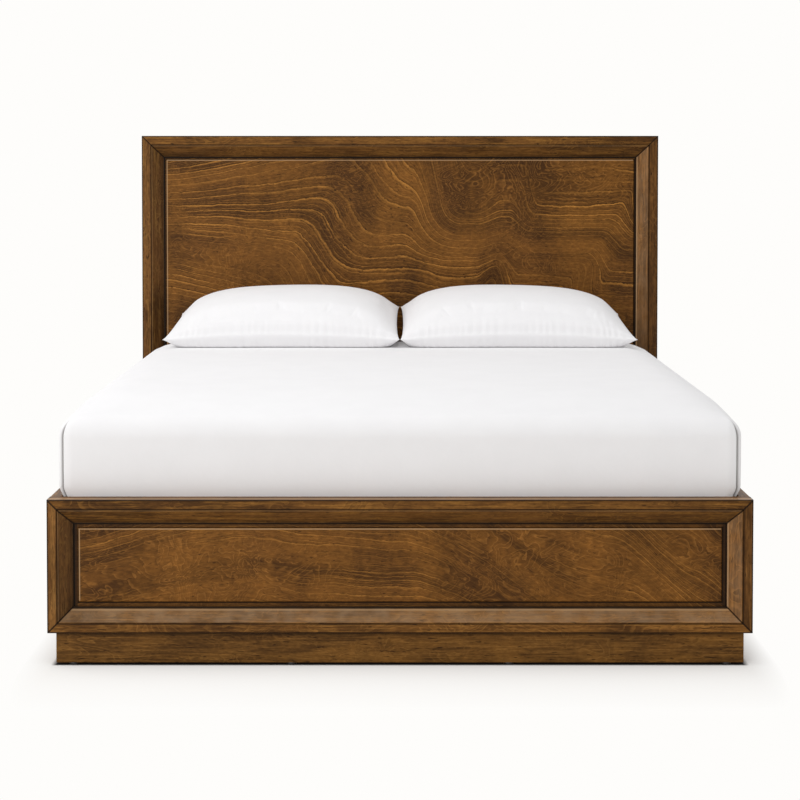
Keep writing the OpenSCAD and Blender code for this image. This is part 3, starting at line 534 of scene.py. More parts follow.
def veneer_rings(tree, colour, level, along, line, ring_share):
    """Rings of three sizes, the larger ones in bands; gives also the largest ones."""
    band = add(tree, "TexNoise", {"Vector": line, "Scale": per_metre(BAND_MM)})
    fine = rings_of(tree, level, along, FINE_RING_MM, 2.5)
    fine_share = add(tree, "Math", (ring_share, 0.4), operation="MULTIPLY")
    colour = ring_lines(tree, colour, fine, fine_share, FINE_PALE, DARK_LINE, 0.25)
    middle = rings_of(tree, level, along, MIDDLE_RING_MM, 2.5)
    banded = add(tree, "MapRange", (band, 0.42, 0.6, 0.1, 1.0))
    middle_share = add(tree, "Math", (ring_share, banded), operation="MULTIPLY")
    colour = ring_lines(tree, colour, middle, middle_share, MIDDLE_PALE, DARK_LINE, 0.16)
    late = rings_of(tree, level, along, RING_MM, 1.6)
    banded = add(tree, "MapRange", (band, 0.42, 0.56, 0.3, 1.2))
    late_share = add(tree, "Math", (ring_share, banded), operation="MULTIPLY")
    return ring_lines(tree, colour, late, late_share, PALE_LINE, DARK_LINE, 0.10), late


print("rings of", RING_MM, MIDDLE_RING_MM, FINE_RING_MM, "mm")

# %% Figured veneer
FEW_MM = 190
CURL_PALE, SOFT_DARK = "#9a6830", "#4a2e13"


def figured_veneer(name, figure, board, dark, mid, light, warp_mm, bold):
    """Veneer on a board's panel: bold is how strongly its rings show."""
    material, tree = new_material(name)
    place = add(tree, "TexCoord", out="Object")
    split = add(tree, "SeparateXYZ", {0: place}).node
    x, z = split.outputs["X"], split.outputs["Z"]
    level, slow = veneer_levels(tree, place, x, z, figure, warp_mm)
    along = add(tree, "Math", (x, 0.06), operation="MULTIPLY")
    line = add(tree, "CombineXYZ", {"X": level, "Y": along, "Z": 0.0})
    colour = veneer_ground(tree, line, dark, mid, light)
    patch = add(tree, "TexNoise", {"Vector": place, "Scale": per_metre(FEW_MM)})
    few = add(tree, "MapRange", (patch, 0.46, 0.6, 0.0, 0.7), interpolation_type="SMOOTHSTEP")
    for whorl in WHORLS[board]:
        few = add(tree, "Math", (few, oval(tree, x, z, slow, *whorl)), operation="MAXIMUM")
    curl_share = add(tree, "MapRange", (few, 0.0, 1.0, 0.16, 0.46))
    colour = curls(tree, colour, grain_space(tree, "X", 0.6), curl_share, CURL_PALE, SOFT_DARK)
    ring_share = add(tree, "MapRange", (few, 0.0, 1.0, bold, 0.12))
    colour, late = veneer_rings(tree, colour, level, along, line, ring_share)
    stretched = add(tree, "Math", (x, 0.2), operation="MULTIPLY")
    dash = add(tree, "CombineXYZ", {"X": stretched, "Y": level, "Z": 0.0})
    pore = add(tree, "TexNoise", {"Vector": dash, "Scale": per_metre(PORE_MM), "Detail": 1.0})
    pores = add(tree, "MapRange", (pore, 0.66, 0.74, 0.0, 0.8))
    colour = add(tree, "Mix", {0: pores, 6: colour, 7: PORE_COLOUR}, 2, data_type="RGBA")
    colour = fibres(tree, colour, grain_space(tree, "X", 0.5), 6, 0.24)
    # Painted sheen: bands that run up the panel, the shimmer of figured veneer.
    colour = fibres(tree, colour, grain_space(tree, "Z", 0.35), 90, 0.17)
    lacquered(tree, panel_edges(tree, colour, board), late, roughness=0.40, bump=0.05)
    return material


print("patches with few rings measure about", FEW_MM, "mm")

# %% [markdown]
# ## The other finishes
# Beam, legs, ledgers and slats are planed poplar without stain. Brackets and hangers are
# powder-coated steel, which has a fine orange peel. Screws and bolts are zinc-plated:
# a metal that is rolled and barrelled, so its gleam is a little blurred. Glides and
# levelling feet are moulded black nylon.


# %% Plain wood
POPLAR_BAND_MM, POPLAR_FIBRE_MM = 60, 2.5
POPLAR_DARK, POPLAR_PALE, POPLAR_FIBRE = "#c9ad7c", "#e0cba0", "#a98c5c"


def planed_poplar(name, along):
    """Bare wood with broad bands and fine fibres along its length."""
    material, tree = new_material(name)
    wide = grain_space(tree, along, 0.2)
    fine = grain_space(tree, along, 0.03)
    band = add(tree, "TexNoise", {
        "Vector": wide, "Scale": per_metre(POPLAR_BAND_MM), "Detail": 3.0,
        "Distortion": 0.8})
    fibre = add(tree, "TexNoise", {
        "Vector": fine, "Scale": per_metre(POPLAR_FIBRE_MM), "Detail": 3.0,
        "Roughness": 0.6})
    colour = add(
        tree, "Mix", {0: band, 6: POPLAR_DARK, 7: POPLAR_PALE}, 2, data_type="RGBA")
    fibrous = add(tree, "MapRange", (fibre, 0.5, 0.8, 0.0, 0.5))
    colour = add(
        tree, "Mix", {0: fibrous, 6: colour, 7: POPLAR_FIBRE}, 2, data_type="RGBA")
    normal = add(tree, "Bump", {"Height": fibre, "Strength": 0.15, "Distance": 0.0004})
    shader = add(tree, "BsdfPrincipled", {
        "Base Color": colour, "Roughness": 0.65, "IOR": 1.5, "Specular IOR Level": 0.3,
        "Normal": normal})
    add(tree, "OutputMaterial", {"Surface": shader})
    return material


print("poplar has fibres of", POPLAR_FIBRE_MM, "mm")

# %% Steel, zinc and nylon
def rough_surface(name, first, second, grain_mm, metallic, roughness, bump):
    """Two close tones, a grain and a gleam, for moulded, coated and plated surfaces."""
    material, tree = new_material(name)
    place = add(tree, "TexCoord", out="Object")
    grain = add(tree, "TexNoise", {
        "Vector": place, "Scale": per_metre(grain_mm), "Detail": 3.0, "Roughness": 0.6})
    colour = add(tree, "Mix", {0: grain, 6: first, 7: second}, 2, data_type="RGBA")
    normal = add(tree, "Bump", {"Height": grain, "Strength": bump, "Distance": 0.0002})
    shader = add(tree, "BsdfPrincipled", {
        "Base Color": colour, "Metallic": metallic, "Roughness": roughness,
        "Normal": normal})
    add(tree, "OutputMaterial", {"Surface": shader})
    return material


powder_coated_steel = rough_surface(
    "powder_coated_steel", "#1d1e20", "#2b2c2f", 1.5, 0.0, 0.5, 0.3)
zinc_plated_steel = rough_surface(
    "zinc_plated_steel", "#a9abad", "#c6c7c8", 3, 1.0, 0.35, 0.05)
black_nylon = rough_surface("moulded_black_nylon", "#101011", "#1b1b1c", 1.0, 0.0, 0.45, 0.15)
print("metals and plastics:", powder_coated_steel.name, zinc_plated_steel.name,
      black_nylon.name)

# %% [markdown]
# ## Dressing the solids
# Each member gets its own tone, as boards from different trees would, with the lighter
# ones at the left as on the real bed.

# %% Tones and painted light of the members
RAIL = ("#4b2f12", "#6a451e", "#91642c")
LOW_RAIL = ("#573818", "#7a5124", "#a27135")
LEFT = ("#573817", "#774f27", "#9d723b")
RIGHT = ("#3f2710", "#5a3a1a", "#7f572c")
PLINTH = ("#5a3c1a", "#7a5324", "#936731")
DARKER_LEFT = ("#4f3214", "#6d4723", "#906834")
LIGHTER_RIGHT = ("#432a11", "#5f3d1b", "#865c2e")
# The third field of a member is its painted light: whether its inner walls face the light, how
# far its bevel is lightened or darkened, a painted sheen on the bevel, and for a bottom or
# right member the width of painted shade along the panel.
MEMBERS = {
    "top_rail": ("X", RAIL, (False, 0.92, 0.02)),
    "bottom_rail": ("X", LOW_RAIL, (True, 1.18, 0.36, 0.0040)),
    "left_stile": ("Z", LEFT, (False, 0.58, 0.02)),
    "right_stile": ("Z", RIGHT, (True, 1.62, 0.20, 0.0002)),
}
OWN_TONE_AND_LIGHT = {
    "headboard_left_stile": ("Z", DARKER_LEFT, (False, 0.74, 0.02)),
    "footboard_right_stile": ("Z", LIGHTER_RIGHT, (True, 1.70, 0.20, 0.0002)),
}
print(len(MEMBERS), "members a board,", len(OWN_TONE_AND_LIGHT), "of them with a finish of their own")

# %% Wood for the boards, rails and plinths
PLINTH_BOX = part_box("footboard_plinth")
finishes = {}
for board in BOARDS:
    for member, usual in MEMBERS.items():
        name = board + "_" + member
        along, tones, painted_light = OWN_TONE_AND_LIGHT.get(name, usual)
        finishes[name] = stained_member(
            "stained_hardwood_" + name, along, *tones, board=board, painted_light=painted_light)
    finishes[board + "_plinth"] = stained_member(
        "stained_hardwood_" + board + "_plinth", "X", *PLINTH, plinth=PLINTH_BOX)
    finishes[board + "_back_panel"] = stained_member(
        "stained_plywood_" + board + "_back", "X", *RAIL)
VENEER = ("#4d3014", "#6d461b", "#865724")
finishes["headboard_panel"] = figured_veneer(
    "lacquered_veneer_headboard", headboard_figure, "headboard", *VENEER, 17, 0.74)
finishes["footboard_panel"] = figured_veneer(
    "lacquered_veneer_footboard", footboard_figure, "footboard", *VENEER, 24, 0.55)
for side in ("left", "right"):
    finishes["side_rail_" + side] = stained_member(
        "stained_hardwood_side_rail_" + side, "Y", *RAIL)
    finishes["side_plinth_" + side] = stained_member(
        "stained_hardwood_side_plinth_" + side, "Y", *PLINTH, plinth=PLINTH_BOX)
print(len(finishes), "pieces of stained wood and veneer")

# %% Bare wood, metal and nylon for the rest
poplar = {axis: planed_poplar("planed_poplar_" + axis, axis) for axis in "XYZ"}
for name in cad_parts:
    if name.startswith("slat_") and name != "slat_screws":
        finishes[name] = poplar["X"]
    if name.startswith("ledger_") and name != "ledger_screws" or name == "centre_beam":
        finishes[name] = poplar["Y"]
    if name.startswith("centre_leg"):
        finishes[name] = poplar["Z"]
    if name.startswith(("corner_bracket", "beam_hanger")):
        finishes[name] = powder_coated_steel
    if name.endswith("_screws") or name in ("corner_bolts", "threaded_inserts"):
        finishes[name] = zinc_plated_steel
    if name.startswith("levelling_foot") or name == "plinth_glides":
        finishes[name] = black_nylon
finishes["mitre_splines"] = poplar["Z"]
print(len(finishes), "finishes in all")

# %% Put the finishes on
SOFT_NODES = ("mattress", "fitted_sheet", "pillow_left", "pillow_right",
              "pillowcase_left", "pillowcase_right")
for name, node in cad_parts.items():
    if name in SOFT_NODES:
        continue
    node.data.materials.clear()
    node.data.materials.append(finishes[name])
print("left for cloth:", SOFT_NODES)

# %% [markdown]
# Sandpaper takes every sharp edge off a wooden piece. A narrow bevel catches the light
# along each edge as the real one does. Imported faces don't share their corner points, so
# a Weld joins them first, or there would be no edge to bevel.

# %% Broken edges
BROKEN_EDGE, STEEL_EDGE = 0.0007, 0.0004
WELD_WITHIN = 0.00002
for name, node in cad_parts.items():
    if name in SOFT_NODES or "screws" in name or name in ("threaded_inserts", "mitre_splines"):
        continue
    weld = node.modifiers.new("weld", "WELD")
    weld.merge_threshold = WELD_WITHIN
    bevel = node.modifiers.new("broken_edges", "BEVEL")
    bevel.width = STEEL_EDGE if finishes[name] is powder_coated_steel else BROKEN_EDGE
    bevel.segments = 2
    bevel.limit_method = "ANGLE"
    bevel.angle_limit = math.radians(28)
    bevel.harden_normals = False
print("edges broken by", BROKEN_EDGE * 1000, "mm")

# %% [markdown]
# ## Cotton
# The sheet and pillowcases are bleached cotton percale, a plain weave with threads about
# 0.25 mm apart. At this distance the weave can't show, so it is drawn as a 2 mm weave that
# only roughens the surface, over slow, soft waves of the cloth. The mattress itself wears
# a knitted ticking in a warmer white.


# %% Woven cotton
FOLD_SHADE = "#6f6a68"


def woven_cotton(name, colour, shade, thread_mm, wave_mm, wave):
    """Cloth with painted shade from a point attribute, in creases and under hems."""
    material, tree = new_material(name)
    place = add(tree, "TexCoord", out="Object")
    threads = {"Vector": place, "Scale": per_metre(thread_mm) / 20, "Distortion": 1.5,
               "Detail": 2.0}
    warp = add(tree, "TexWave", threads, out=1, bands_direction="X")
    weft = add(tree, "TexWave", threads, out=1, bands_direction="DIAGONAL")
    soft = add(tree, "TexNoise", {
        "Vector": place, "Scale": per_metre(wave_mm), "Detail": 4.0, "Roughness": 0.55})
    slub = add(tree, "TexNoise", {
        "Vector": place, "Scale": per_metre(6), "Detail": 3.0, "Roughness": 0.6})
    patchy = add(tree, "MapRange", (soft, 0.35, 0.65, 0.0, 1.0))
    base = add(tree, "Mix", {0: patchy, 6: shade, 7: colour}, 2, data_type="RGBA")
    # Painted shade, set per point: in the sheet's corner creases and under the pillows' hems.
    painted_shade = add(tree, "Attribute", out="Fac", attribute_name="painted_shade")
    base = add(tree, "Mix", {0: painted_shade, 6: base, 7: FOLD_SHADE}, 2, data_type="RGBA")
    weave = add(tree, "Math", (warp, weft), operation="ADD")
    fine = add(tree, "Bump", {"Height": weave, "Strength": 0.05, "Distance": 0.0003})
    slubs = add(tree, "Bump", {
        "Height": slub, "Strength": 0.12, "Distance": 0.0006, "Normal": fine})
    waves = add(tree, "Bump", {
        "Height": soft, "Strength": wave, "Distance": 0.006, "Normal": slubs})
    shader = add(tree, "BsdfPrincipled", {
        "Base Color": base, "Roughness": 0.85, "IOR": 1.45, "Specular IOR Level": 0.25,
        "Sheen Weight": 0.15, "Sheen Roughness": 0.5, "Normal": waves})
    add(tree, "OutputMaterial", {"Surface": shader})
    return material


percale = woven_cotton("bleached_percale", "#f6f5f6", "#f4f3f4", 2.0, 90, 0.14)
# The pillowcases take the sheet's percale a little darker, as painted shade.
case_percale = woven_cotton("pillowcase_percale", "#f2f1f2", "#f0eff0", 2.0, 60, 0.10)
ticking = woven_cotton("knitted_ticking", "#ece8de", "#e4dfd3", 3.0, 90, 0.10)
print("cloths:", percale.name, case_percale.name, ticking.name)

# %% [markdown]
# ## The mattress and its sheet
# The mattress is foam in a knitted cover, and the fitted sheet is stretched over it with
# elastic, so its folds are small. Both follow one profile, from the roll along the lower
# edge to the flat crown: down in the frame it is held in, above the rails it swells, and
# the top falls away towards the edges. It could be sculpted, but one rule keeps cover and
# sheet in step.

# %% The crown of the mattress
MATTRESS_W, MATTRESS_L, MATTRESS_T = 1.524, 2.032, 0.305
HALF_MW, HALF_ML = MATTRESS_W / 2, MATTRESS_L / 2
SIDE_BULGE, FOOT_BULGE, HEAD_BULGE = 0.020, 0.011, 0.005
CROWN_FALL, SIDE_SLOPE, FOOT_SLOPE = 0.045, 0.130, 0.330
mattress_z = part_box("mattress")[0].z
top_z = mattress_z + MATTRESS_T


def top_fall(x, y):
    """How far the top lies below the crown."""
    def share(distance, width):
        return np.maximum(0, 1 - np.maximum(0, distance) / width)
    across = share(HALF_MW + SIDE_BULGE - np.abs(x), SIDE_SLOPE)
    to_head = share(HALF_ML + HEAD_BULGE - y, SIDE_SLOPE)
    to_foot = share(HALF_ML + FOOT_BULGE + y, FOOT_SLOPE)
    along = np.maximum(to_head, to_foot)
    return CROWN_FALL * (1 - (1 - across ** 2) * (1 - along ** 2))


print("mattress from", round(mattress_z, 4), "to", round(top_z, 4))

# %% Its profile from the lower roll to the middle of the top
TOP_ROLL, BOTTOM_ROLL = 0.040, 0.025
TUCK, TUCK_FROM, TUCK_TO = 0.5, 0.25, 0.42
LAST_INSET, TOP_RINGS = 0.74, 30


def side_profile(roll_from, steps):
    """Bulge share, inset, level height, outward and upward normal, share of the fall."""
    def bulge(s):
        t = min(1.0, max(0.0, (s - TUCK_FROM) / (TUCK_TO - TUCK_FROM)))
        return 1 - TUCK * (1 - t * t * (3 - 2 * t))
    rows = []
    for k in range(roll_from, steps + 1):
        a = math.radians(90 * (1 - k / steps))
        rows.append((bulge(0), BOTTOM_ROLL * (1 - math.cos(a)), mattress_z + BOTTOM_ROLL
                     * (1 - math.sin(a)), math.cos(a), -math.sin(a), 0))
    low, high = mattress_z + BOTTOM_ROLL, top_z - TOP_ROLL
    for k in range(1, 3 * steps + 1):
        s = k / (3 * steps)
        rows.append((bulge(s), 0, low + (high - low) * s, 1, 0, s))
    for k in range(1, steps + 5):
        a = math.radians(90 * k / (steps + 4))
        rows.append((1, TOP_ROLL * (1 - math.cos(a)), top_z - TOP_ROLL * (1 - math.sin(a)),
                     math.cos(a), math.sin(a), 1))
    for inset in np.linspace(TOP_ROLL, LAST_INSET, TOP_RINGS)[1:]:
        rows.append((1, float(inset), top_z, 0, 1, 1))
    return rows


print("profile of", len(side_profile(0, 8)), "rings")


# %% Its outline from above
def rounded_outline(half_x, half_y, radius, corner_steps, edge_steps):
    """Points of a rounded rectangle, anticlockwise, and the angle of each about its corner."""
    points, turns = [], []
    centres = [(1, 1), (-1, 1), (-1, -1), (1, -1)]
    for q, (sx, sy) in enumerate(centres):
        cx, cy = sx * (half_x - radius), sy * (half_y - radius)
        for k in range(corner_steps + 1):
            share = k / corner_steps
            a = math.pi / 2 * (q + share)
            points.append((cx + radius * math.cos(a), cy + radius * math.sin(a)))
            turns.append(share)
        nx, ny = centres[(q + 1) % 4]
        a = math.pi / 2 * (q + 1)
        end = (nx * (half_x - radius) + radius * math.cos(a),
               ny * (half_y - radius) + radius * math.sin(a))
        start = points[-1]
        for k in range(1, edge_steps):
            t = k / edge_steps
            points.append((start[0] + (end[0] - start[0]) * t,
                           start[1] + (end[1] - start[1]) * t))
            turns.append(-1.0)
    return np.array(points), np.array(turns)


print("outline of", len(rounded_outline(1, 1, 0.1, 28, 44)[0]), "points")

# %% [markdown]
# A fitted sheet has a sewn dart at each corner, where the cloth was folded and cut away.
# The seam draws in and leaves a crease from the upper roll down to the hem, with small
# ripples on both sides where the elastic gathers the hem. The crease is darkened with
# painted shade.

# %% The corner seam
SEAM_AT, SEAM_W = 0.5, 0.060
SEAM_DEPTH, LIP, LIP_AT = 0.0040, 0.0010, 2.2
SEAM_TOP, SEAM_FADE = 0.002, 0.02


def seam_profile(turns):
    """How deep the corner seam pulls the cloth in, and how much painted shade its crease gets.
    """
    off = (turns - SEAM_AT) / SEAM_W
    inside = np.exp(-off ** 2)
    lips = np.exp(-(np.abs(off) - LIP_AT) ** 2)
    there = turns >= 0
    return np.where(there, SEAM_DEPTH * inside - LIP * lips, 0), np.where(there, inside, 0)


print("the seam draws in by", SEAM_DEPTH * 1000, "mm")

# %% Any smooth piece
def cloth_piece(name, points, faces):
    """A smooth mesh in the scene."""
    mesh = bpy.data.meshes.new(name)
    mesh.from_pydata([tuple(p) for p in points], [], faces)
    mesh.update()
    mesh.polygons.foreach_set("use_smooth", [True] * len(mesh.polygons))
    piece = bpy.data.objects.new(name, mesh)
    bpy.context.scene.collection.objects.link(piece)
    return piece


print("pieces go to", bpy.context.scene.collection.name)

# %% One ring of the skin
CORNER_STEPS, EDGE_STEPS = 28, 44
CORNER_R, LEAST_R = 0.034, 0.010
FOOT_TUCK = 0.4
RIPPLE_HEIGHT, RIPPLE_REACH, RIPPLE_PITCH = 0.20, 0.22, 0.021


def skin_ring(row, grow, ripple):
    """Points of a ring around the mattress, and the painted shade of each in a seam's crease.
    """
    bulge, inset, z, out, up, fall = row
    spread = grow * out - inset
    half_x = HALF_MW + SIDE_BULGE * bulge + spread
    head = HALF_ML + HEAD_BULGE * bulge + spread
    foot = HALF_ML + FOOT_BULGE * (FOOT_TUCK * bulge + 1 - FOOT_TUCK) + spread
    radius = max(LEAST_R, CORNER_R + spread)
    outline, turns = rounded_outline(
        half_x, (head + foot) / 2, radius, CORNER_STEPS, EDGE_STEPS)
    x, y = outline[:, 0], outline[:, 1] + (head - foot) / 2
    heights = z + grow * up - fall * top_fall(x, y)
    depth, shade = seam_profile(turns)
    fade = min(1.0, max(0.0, (top_z - SEAM_TOP - z) / SEAM_FADE)) * math.sqrt(out)
    off_corner = (np.abs(x) - half_x) ** 2 + (np.abs(y) - head) ** 2
    low = max(0.0, 1 - (z - mattress_z) / RIPPLE_HEIGHT)
    gather = ripple * low * np.exp(-off_corner / RIPPLE_REACH ** 2) * np.sin(
        (np.abs(x) + np.abs(y)) / RIPPLE_PITCH + 2.1 * math.sin(z / 0.05))
    pull = depth * fade - gather * out
    nx = np.clip((np.abs(x) - half_x + radius) / radius, 0, 1) * np.sign(x)
    ny = np.clip((y - head + radius) / radius, 0, 1) + np.clip(
        (y + foot - radius) / radius, -1, 0)
    return np.column_stack([x - nx * pull, y - ny * pull, heights]), shade * fade


print("rings of", 4 * (CORNER_STEPS + EDGE_STEPS), "points")

# %% The skin of mattress and sheet
PROFILE_STEPS = 8


def mattress_mesh(name, grow, roll_from, ripple):
    """Mattress or sheet: grow is the distance from the core, ripple the hem's waves."""
    made = [skin_ring(row, grow, ripple) for row in side_profile(roll_from, PROFILE_STEPS)]
    rings, folds = [ring for ring, _ in made], [painted_shade for _, painted_shade in made]
    count = len(rings[0])
    points = np.concatenate(rings + [[[0, 0, top_z + grow]]])
    faces = []
    for i in range(len(rings) - 1):
        for j in range(count):
            n = (j + 1) % count
            faces.append((i * count + j, i * count + n, (i + 1) * count + n,
                          (i + 1) * count + j))
    last = (len(rings) - 1) * count
    for j in range(count):
        faces.append((last + j, last + (j + 1) % count, len(points) - 1))
    if roll_from == 0:
        faces.append(tuple(reversed(range(count))))
    piece = cloth_piece(name, points, faces)
    painted_shade = piece.data.attributes.new("painted_shade", "FLOAT", "POINT")
    painted_shade.data.foreach_set("value", np.append(np.concatenate(folds), 0.0))
    return piece


print("lower roll in", PROFILE_STEPS, "steps")

# %% Build the mattress and the sheet
CLEARANCE, SHEET_T = 0.0003, 0.0012
RIPPLE = 0.0013
mattress_core = mattress_mesh("mattress_ticking", 0.0, 0, 0.0)
mattress_core.data.materials.append(ticking)
sheet_cloth = mattress_mesh("fitted_sheet_cloth", CLEARANCE + SHEET_T, 3, RIPPLE)
sheet_cloth.data.materials.append(percale)
thickness = sheet_cloth.modifiers.new("thickness", "SOLIDIFY")
thickness.thickness = SHEET_T
thickness.offset = -1
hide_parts("mattress")
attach(mattress_core, "mattress")
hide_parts("fitted_sheet")
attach(sheet_cloth, "mattress")
print("sheet mesh:", len(sheet_cloth.data.vertices), "points")

# %% [markdown]
# ## The pillows
# A pillow is two panels of cloth sewn together along their edge and filled with down. The
# filling pushes the middle up, the seam stays short, and the cloth between them gathers
# into small folds that run away from the seam. The rough form follows the solids. Then a
# cloth simulation with a little too much cloth and some pressure finds the folds. The seam
# is pinned, and no point may move further than a cap, so the pillow keeps its place. At
# last the seam is drawn out by two millimetres, as its folded hem stands proud. The folds
# beside it are finer than a mesh that a simulation can handle, so waves draw them.

# %% The height of the seam
PILLOW_W, PILLOW_L, PILLOW_H = 0.692, 0.380, 0.163
TIP_H, TILT, INNER_LIFT, ARCH = 0.024, 0.056, 0.021, 0.0155
pillow_low, pillow_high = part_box("pillowcase_left")
rest_z = pillow_low.z


def seam_height(u, v):
    """The seam rises to the back, to the inner end and to the middle of each side."""
    back = (v + 1) / 2
    return (rest_z + TIP_H + TILT * back + INNER_LIFT * back * (u + 1) / 2
            + ARCH * (1 - u ** 2))


CROWN_RISE = rest_z + PILLOW_H - seam_height(0, 0)
print("the crown lies", round(CROWN_RISE, 4), "above the seam")

# %% The skin of a pillow
DRAW, INNER_DRAW = 0.011, 0.005
BACK_NARROW, LOWER_DEPTH = 0.023, 0.120
ACROSS_EASE, INNER_EASE, ALONG_EASE = 0.64, 0.56, 0.5
STRAIGHT_FROM = 0.92
EAR, INNER_EAR = 0.004, 0.0028
EAR_ACROSS, EAR_ALONG = 24, 8


def along_rise(v, face):
    """Rises from the seam and rounds off to the crown; the upper panel starts straight."""
    rise = np.maximum(0, 1 - v ** 2) ** ALONG_EASE
    if face < 0:
        return rise
    start = (1 - STRAIGHT_FROM ** 2) ** ALONG_EASE
    line = start * (1 - np.abs(v)) / (1 - STRAIGHT_FROM)
    return np.where(np.abs(v) > STRAIGHT_FROM, line, rise)


def pillow_surface(u, v, face, grow):
    """The left pillow's skin: u runs to its inner end, v to its back."""
    narrow = np.where(u < 0, BACK_NARROW * (v + 1) / 2, 0)
    draw = np.where(u < 0, DRAW, INNER_DRAW)
    front, inner_back = np.maximum(0, -v), np.where(u > 0, np.maximum(0, v), 0)
    ear = EAR * front ** EAR_ALONG + INNER_EAR * inner_back ** EAR_ALONG
    ear = ear * np.abs(u) ** EAR_ACROSS
    x = (PILLOW_W / 2 + grow - draw * (1 - v ** 2) - narrow + ear) * u
    y = (PILLOW_L / 2 + grow - DRAW * (1 - u ** 2)) * v
    full = (np.maximum(0, 1 - np.abs(u) ** 4) ** np.where(u < 0, ACROSS_EASE, INNER_EASE)
            * along_rise(v, face))
    if face > 0:
        z = seam_height(u, v) + (CROWN_RISE + grow) * full
    else:
        z = np.maximum(seam_height(u, v) - (LOWER_DEPTH + grow) * full, rest_z - grow)
    return np.stack([x, y, z], axis=-1)


print("crown at", np.round(pillow_surface(np.array(0.0), np.array(0.0), 1, 0), 4))

# %% Two panels sewn together
CROWDING = 0.90
UNDER_SHADE, UNDER_REACH = 0.055, 0.030
BEHIND_HEM, BEHIND_HEM_SHADE = slice(3, 6), 0.025


def crowded(count):
    """Grid lines from -1 to 1, closer together near the seam."""
    bend = math.pi / 2 * CROWDING
    return np.sin(np.linspace(-1, 1, count) * math.pi / 2 * CROWDING) / math.sin(bend)


def pillow_grid(name, columns, rows, grow, material):
    """Two panels of a regular grid that share their edge; gives also the edge's points."""
    uu, vv = np.meshgrid(crowded(columns), crowded(rows))
    upper = pillow_surface(uu, vv, 1, grow)
    lower = pillow_surface(uu, vv, -1, grow)
    above = np.arange(rows * columns).reshape(rows, columns)
    below = above.copy()
    below[1:-1, 1:-1] = rows * columns + np.arange((rows - 2) * (columns - 2)).reshape(
        rows - 2, columns - 2)
    points = np.concatenate([upper.reshape(-1, 3), lower[1:-1, 1:-1].reshape(-1, 3)])
    faces = []
    for panel, turned in ((above, False), (below, True)):
        for r in range(rows - 1):
            for c in range(columns - 1):
                face = [panel[r, c], panel[r, c + 1], panel[r + 1, c + 1], panel[r + 1, c]]
                faces.append([int(i) for i in (reversed(face) if turned else face)])
    piece = cloth_piece(name, points, faces)
    piece.data.materials.append(material)
    inside = (slice(1, -1), slice(1, -1))
    # Painted shade: on the lower panel under the front seam, fading towards the back, and in a
    # thin band on the upper panel just above the front seam.
    painted_shade = np.zeros(len(points))
    from_front = (vv[inside] + 1) * PILLOW_L / 2
    painted_shade[below[inside]] = UNDER_SHADE * np.exp(-from_front / UNDER_REACH)
    painted_shade[above[BEHIND_HEM, 1:-1]] = BEHIND_HEM_SHADE
    shade = piece.data.attributes.new("painted_shade", "FLOAT", "POINT")
    shade.data.foreach_set("value", painted_shade)
    edge = np.concatenate([above[0], above[1:, -1], above[-1, -2::-1], above[-2:0:-1, 0]])
    place = [np.concatenate([grid.ravel(), grid[inside].ravel()]) for grid in (uu, vv)]
    return piece, [int(i) for i in edge], place


print("grid lines near the seam:", np.round(crowded(70)[:3], 3))

# %% Small folds beside the seam
GATHER, GATHER_START, GATHER_REACH, GATHER_PITCH = 0.0014, 0.003, 0.018, 0.0036


def gathers(u, v):
    """Small folds that run away from the front and back seams."""
    from_seam = (1 - np.abs(v)) * PILLOW_L / 2
    x = u * PILLOW_W / 2
    phase = x / GATHER_PITCH + 2.0 * np.sin(x / 0.037 + 1) + 0.7 * np.sin(x / 0.014)
    size = 0.72 + 0.28 * np.sin(x / 0.031 + 2 * v)
    near_seam = np.minimum(1, from_seam / GATHER_START) * np.exp(-from_seam / GATHER_REACH)
    return GATHER * size * near_seam * np.sin(phase) * (1 - u ** 8)


print("folds of up to", GATHER * 1000, "mm")

# %% How loose the cloth is, and where its points are
SEAM_HOLD = 0.060


def looseness(u, v):
    """0 at the seam, where the hem holds the cloth, and 1 further than the hem reaches."""
    from_seam = np.minimum((1 - np.abs(v)) * PILLOW_L / 2, (1 - np.abs(u)) * PILLOW_W / 2)
    t = np.minimum(1, from_seam / SEAM_HOLD)
    return t * t * (3 - 2 * t)


def of_points(piece, what="co"):
    """The places, or with "normal" the normals, of a piece's points."""
    flat = np.empty(len(piece.data.vertices) * 3)
    piece.data.vertices.foreach_get(what, flat)
    return flat.reshape(-1, 3)


print("the hem holds the cloth", SEAM_HOLD, "m far")

# %% Simulate the cloth of a pillowcase
CLOTH_FRAMES, CLOTH_QUALITY = 20, 6
SURPLUS, PRESSURE = 0.022, 6.0
MOST_IN, MOST_OUT = 0.0015, 0.006


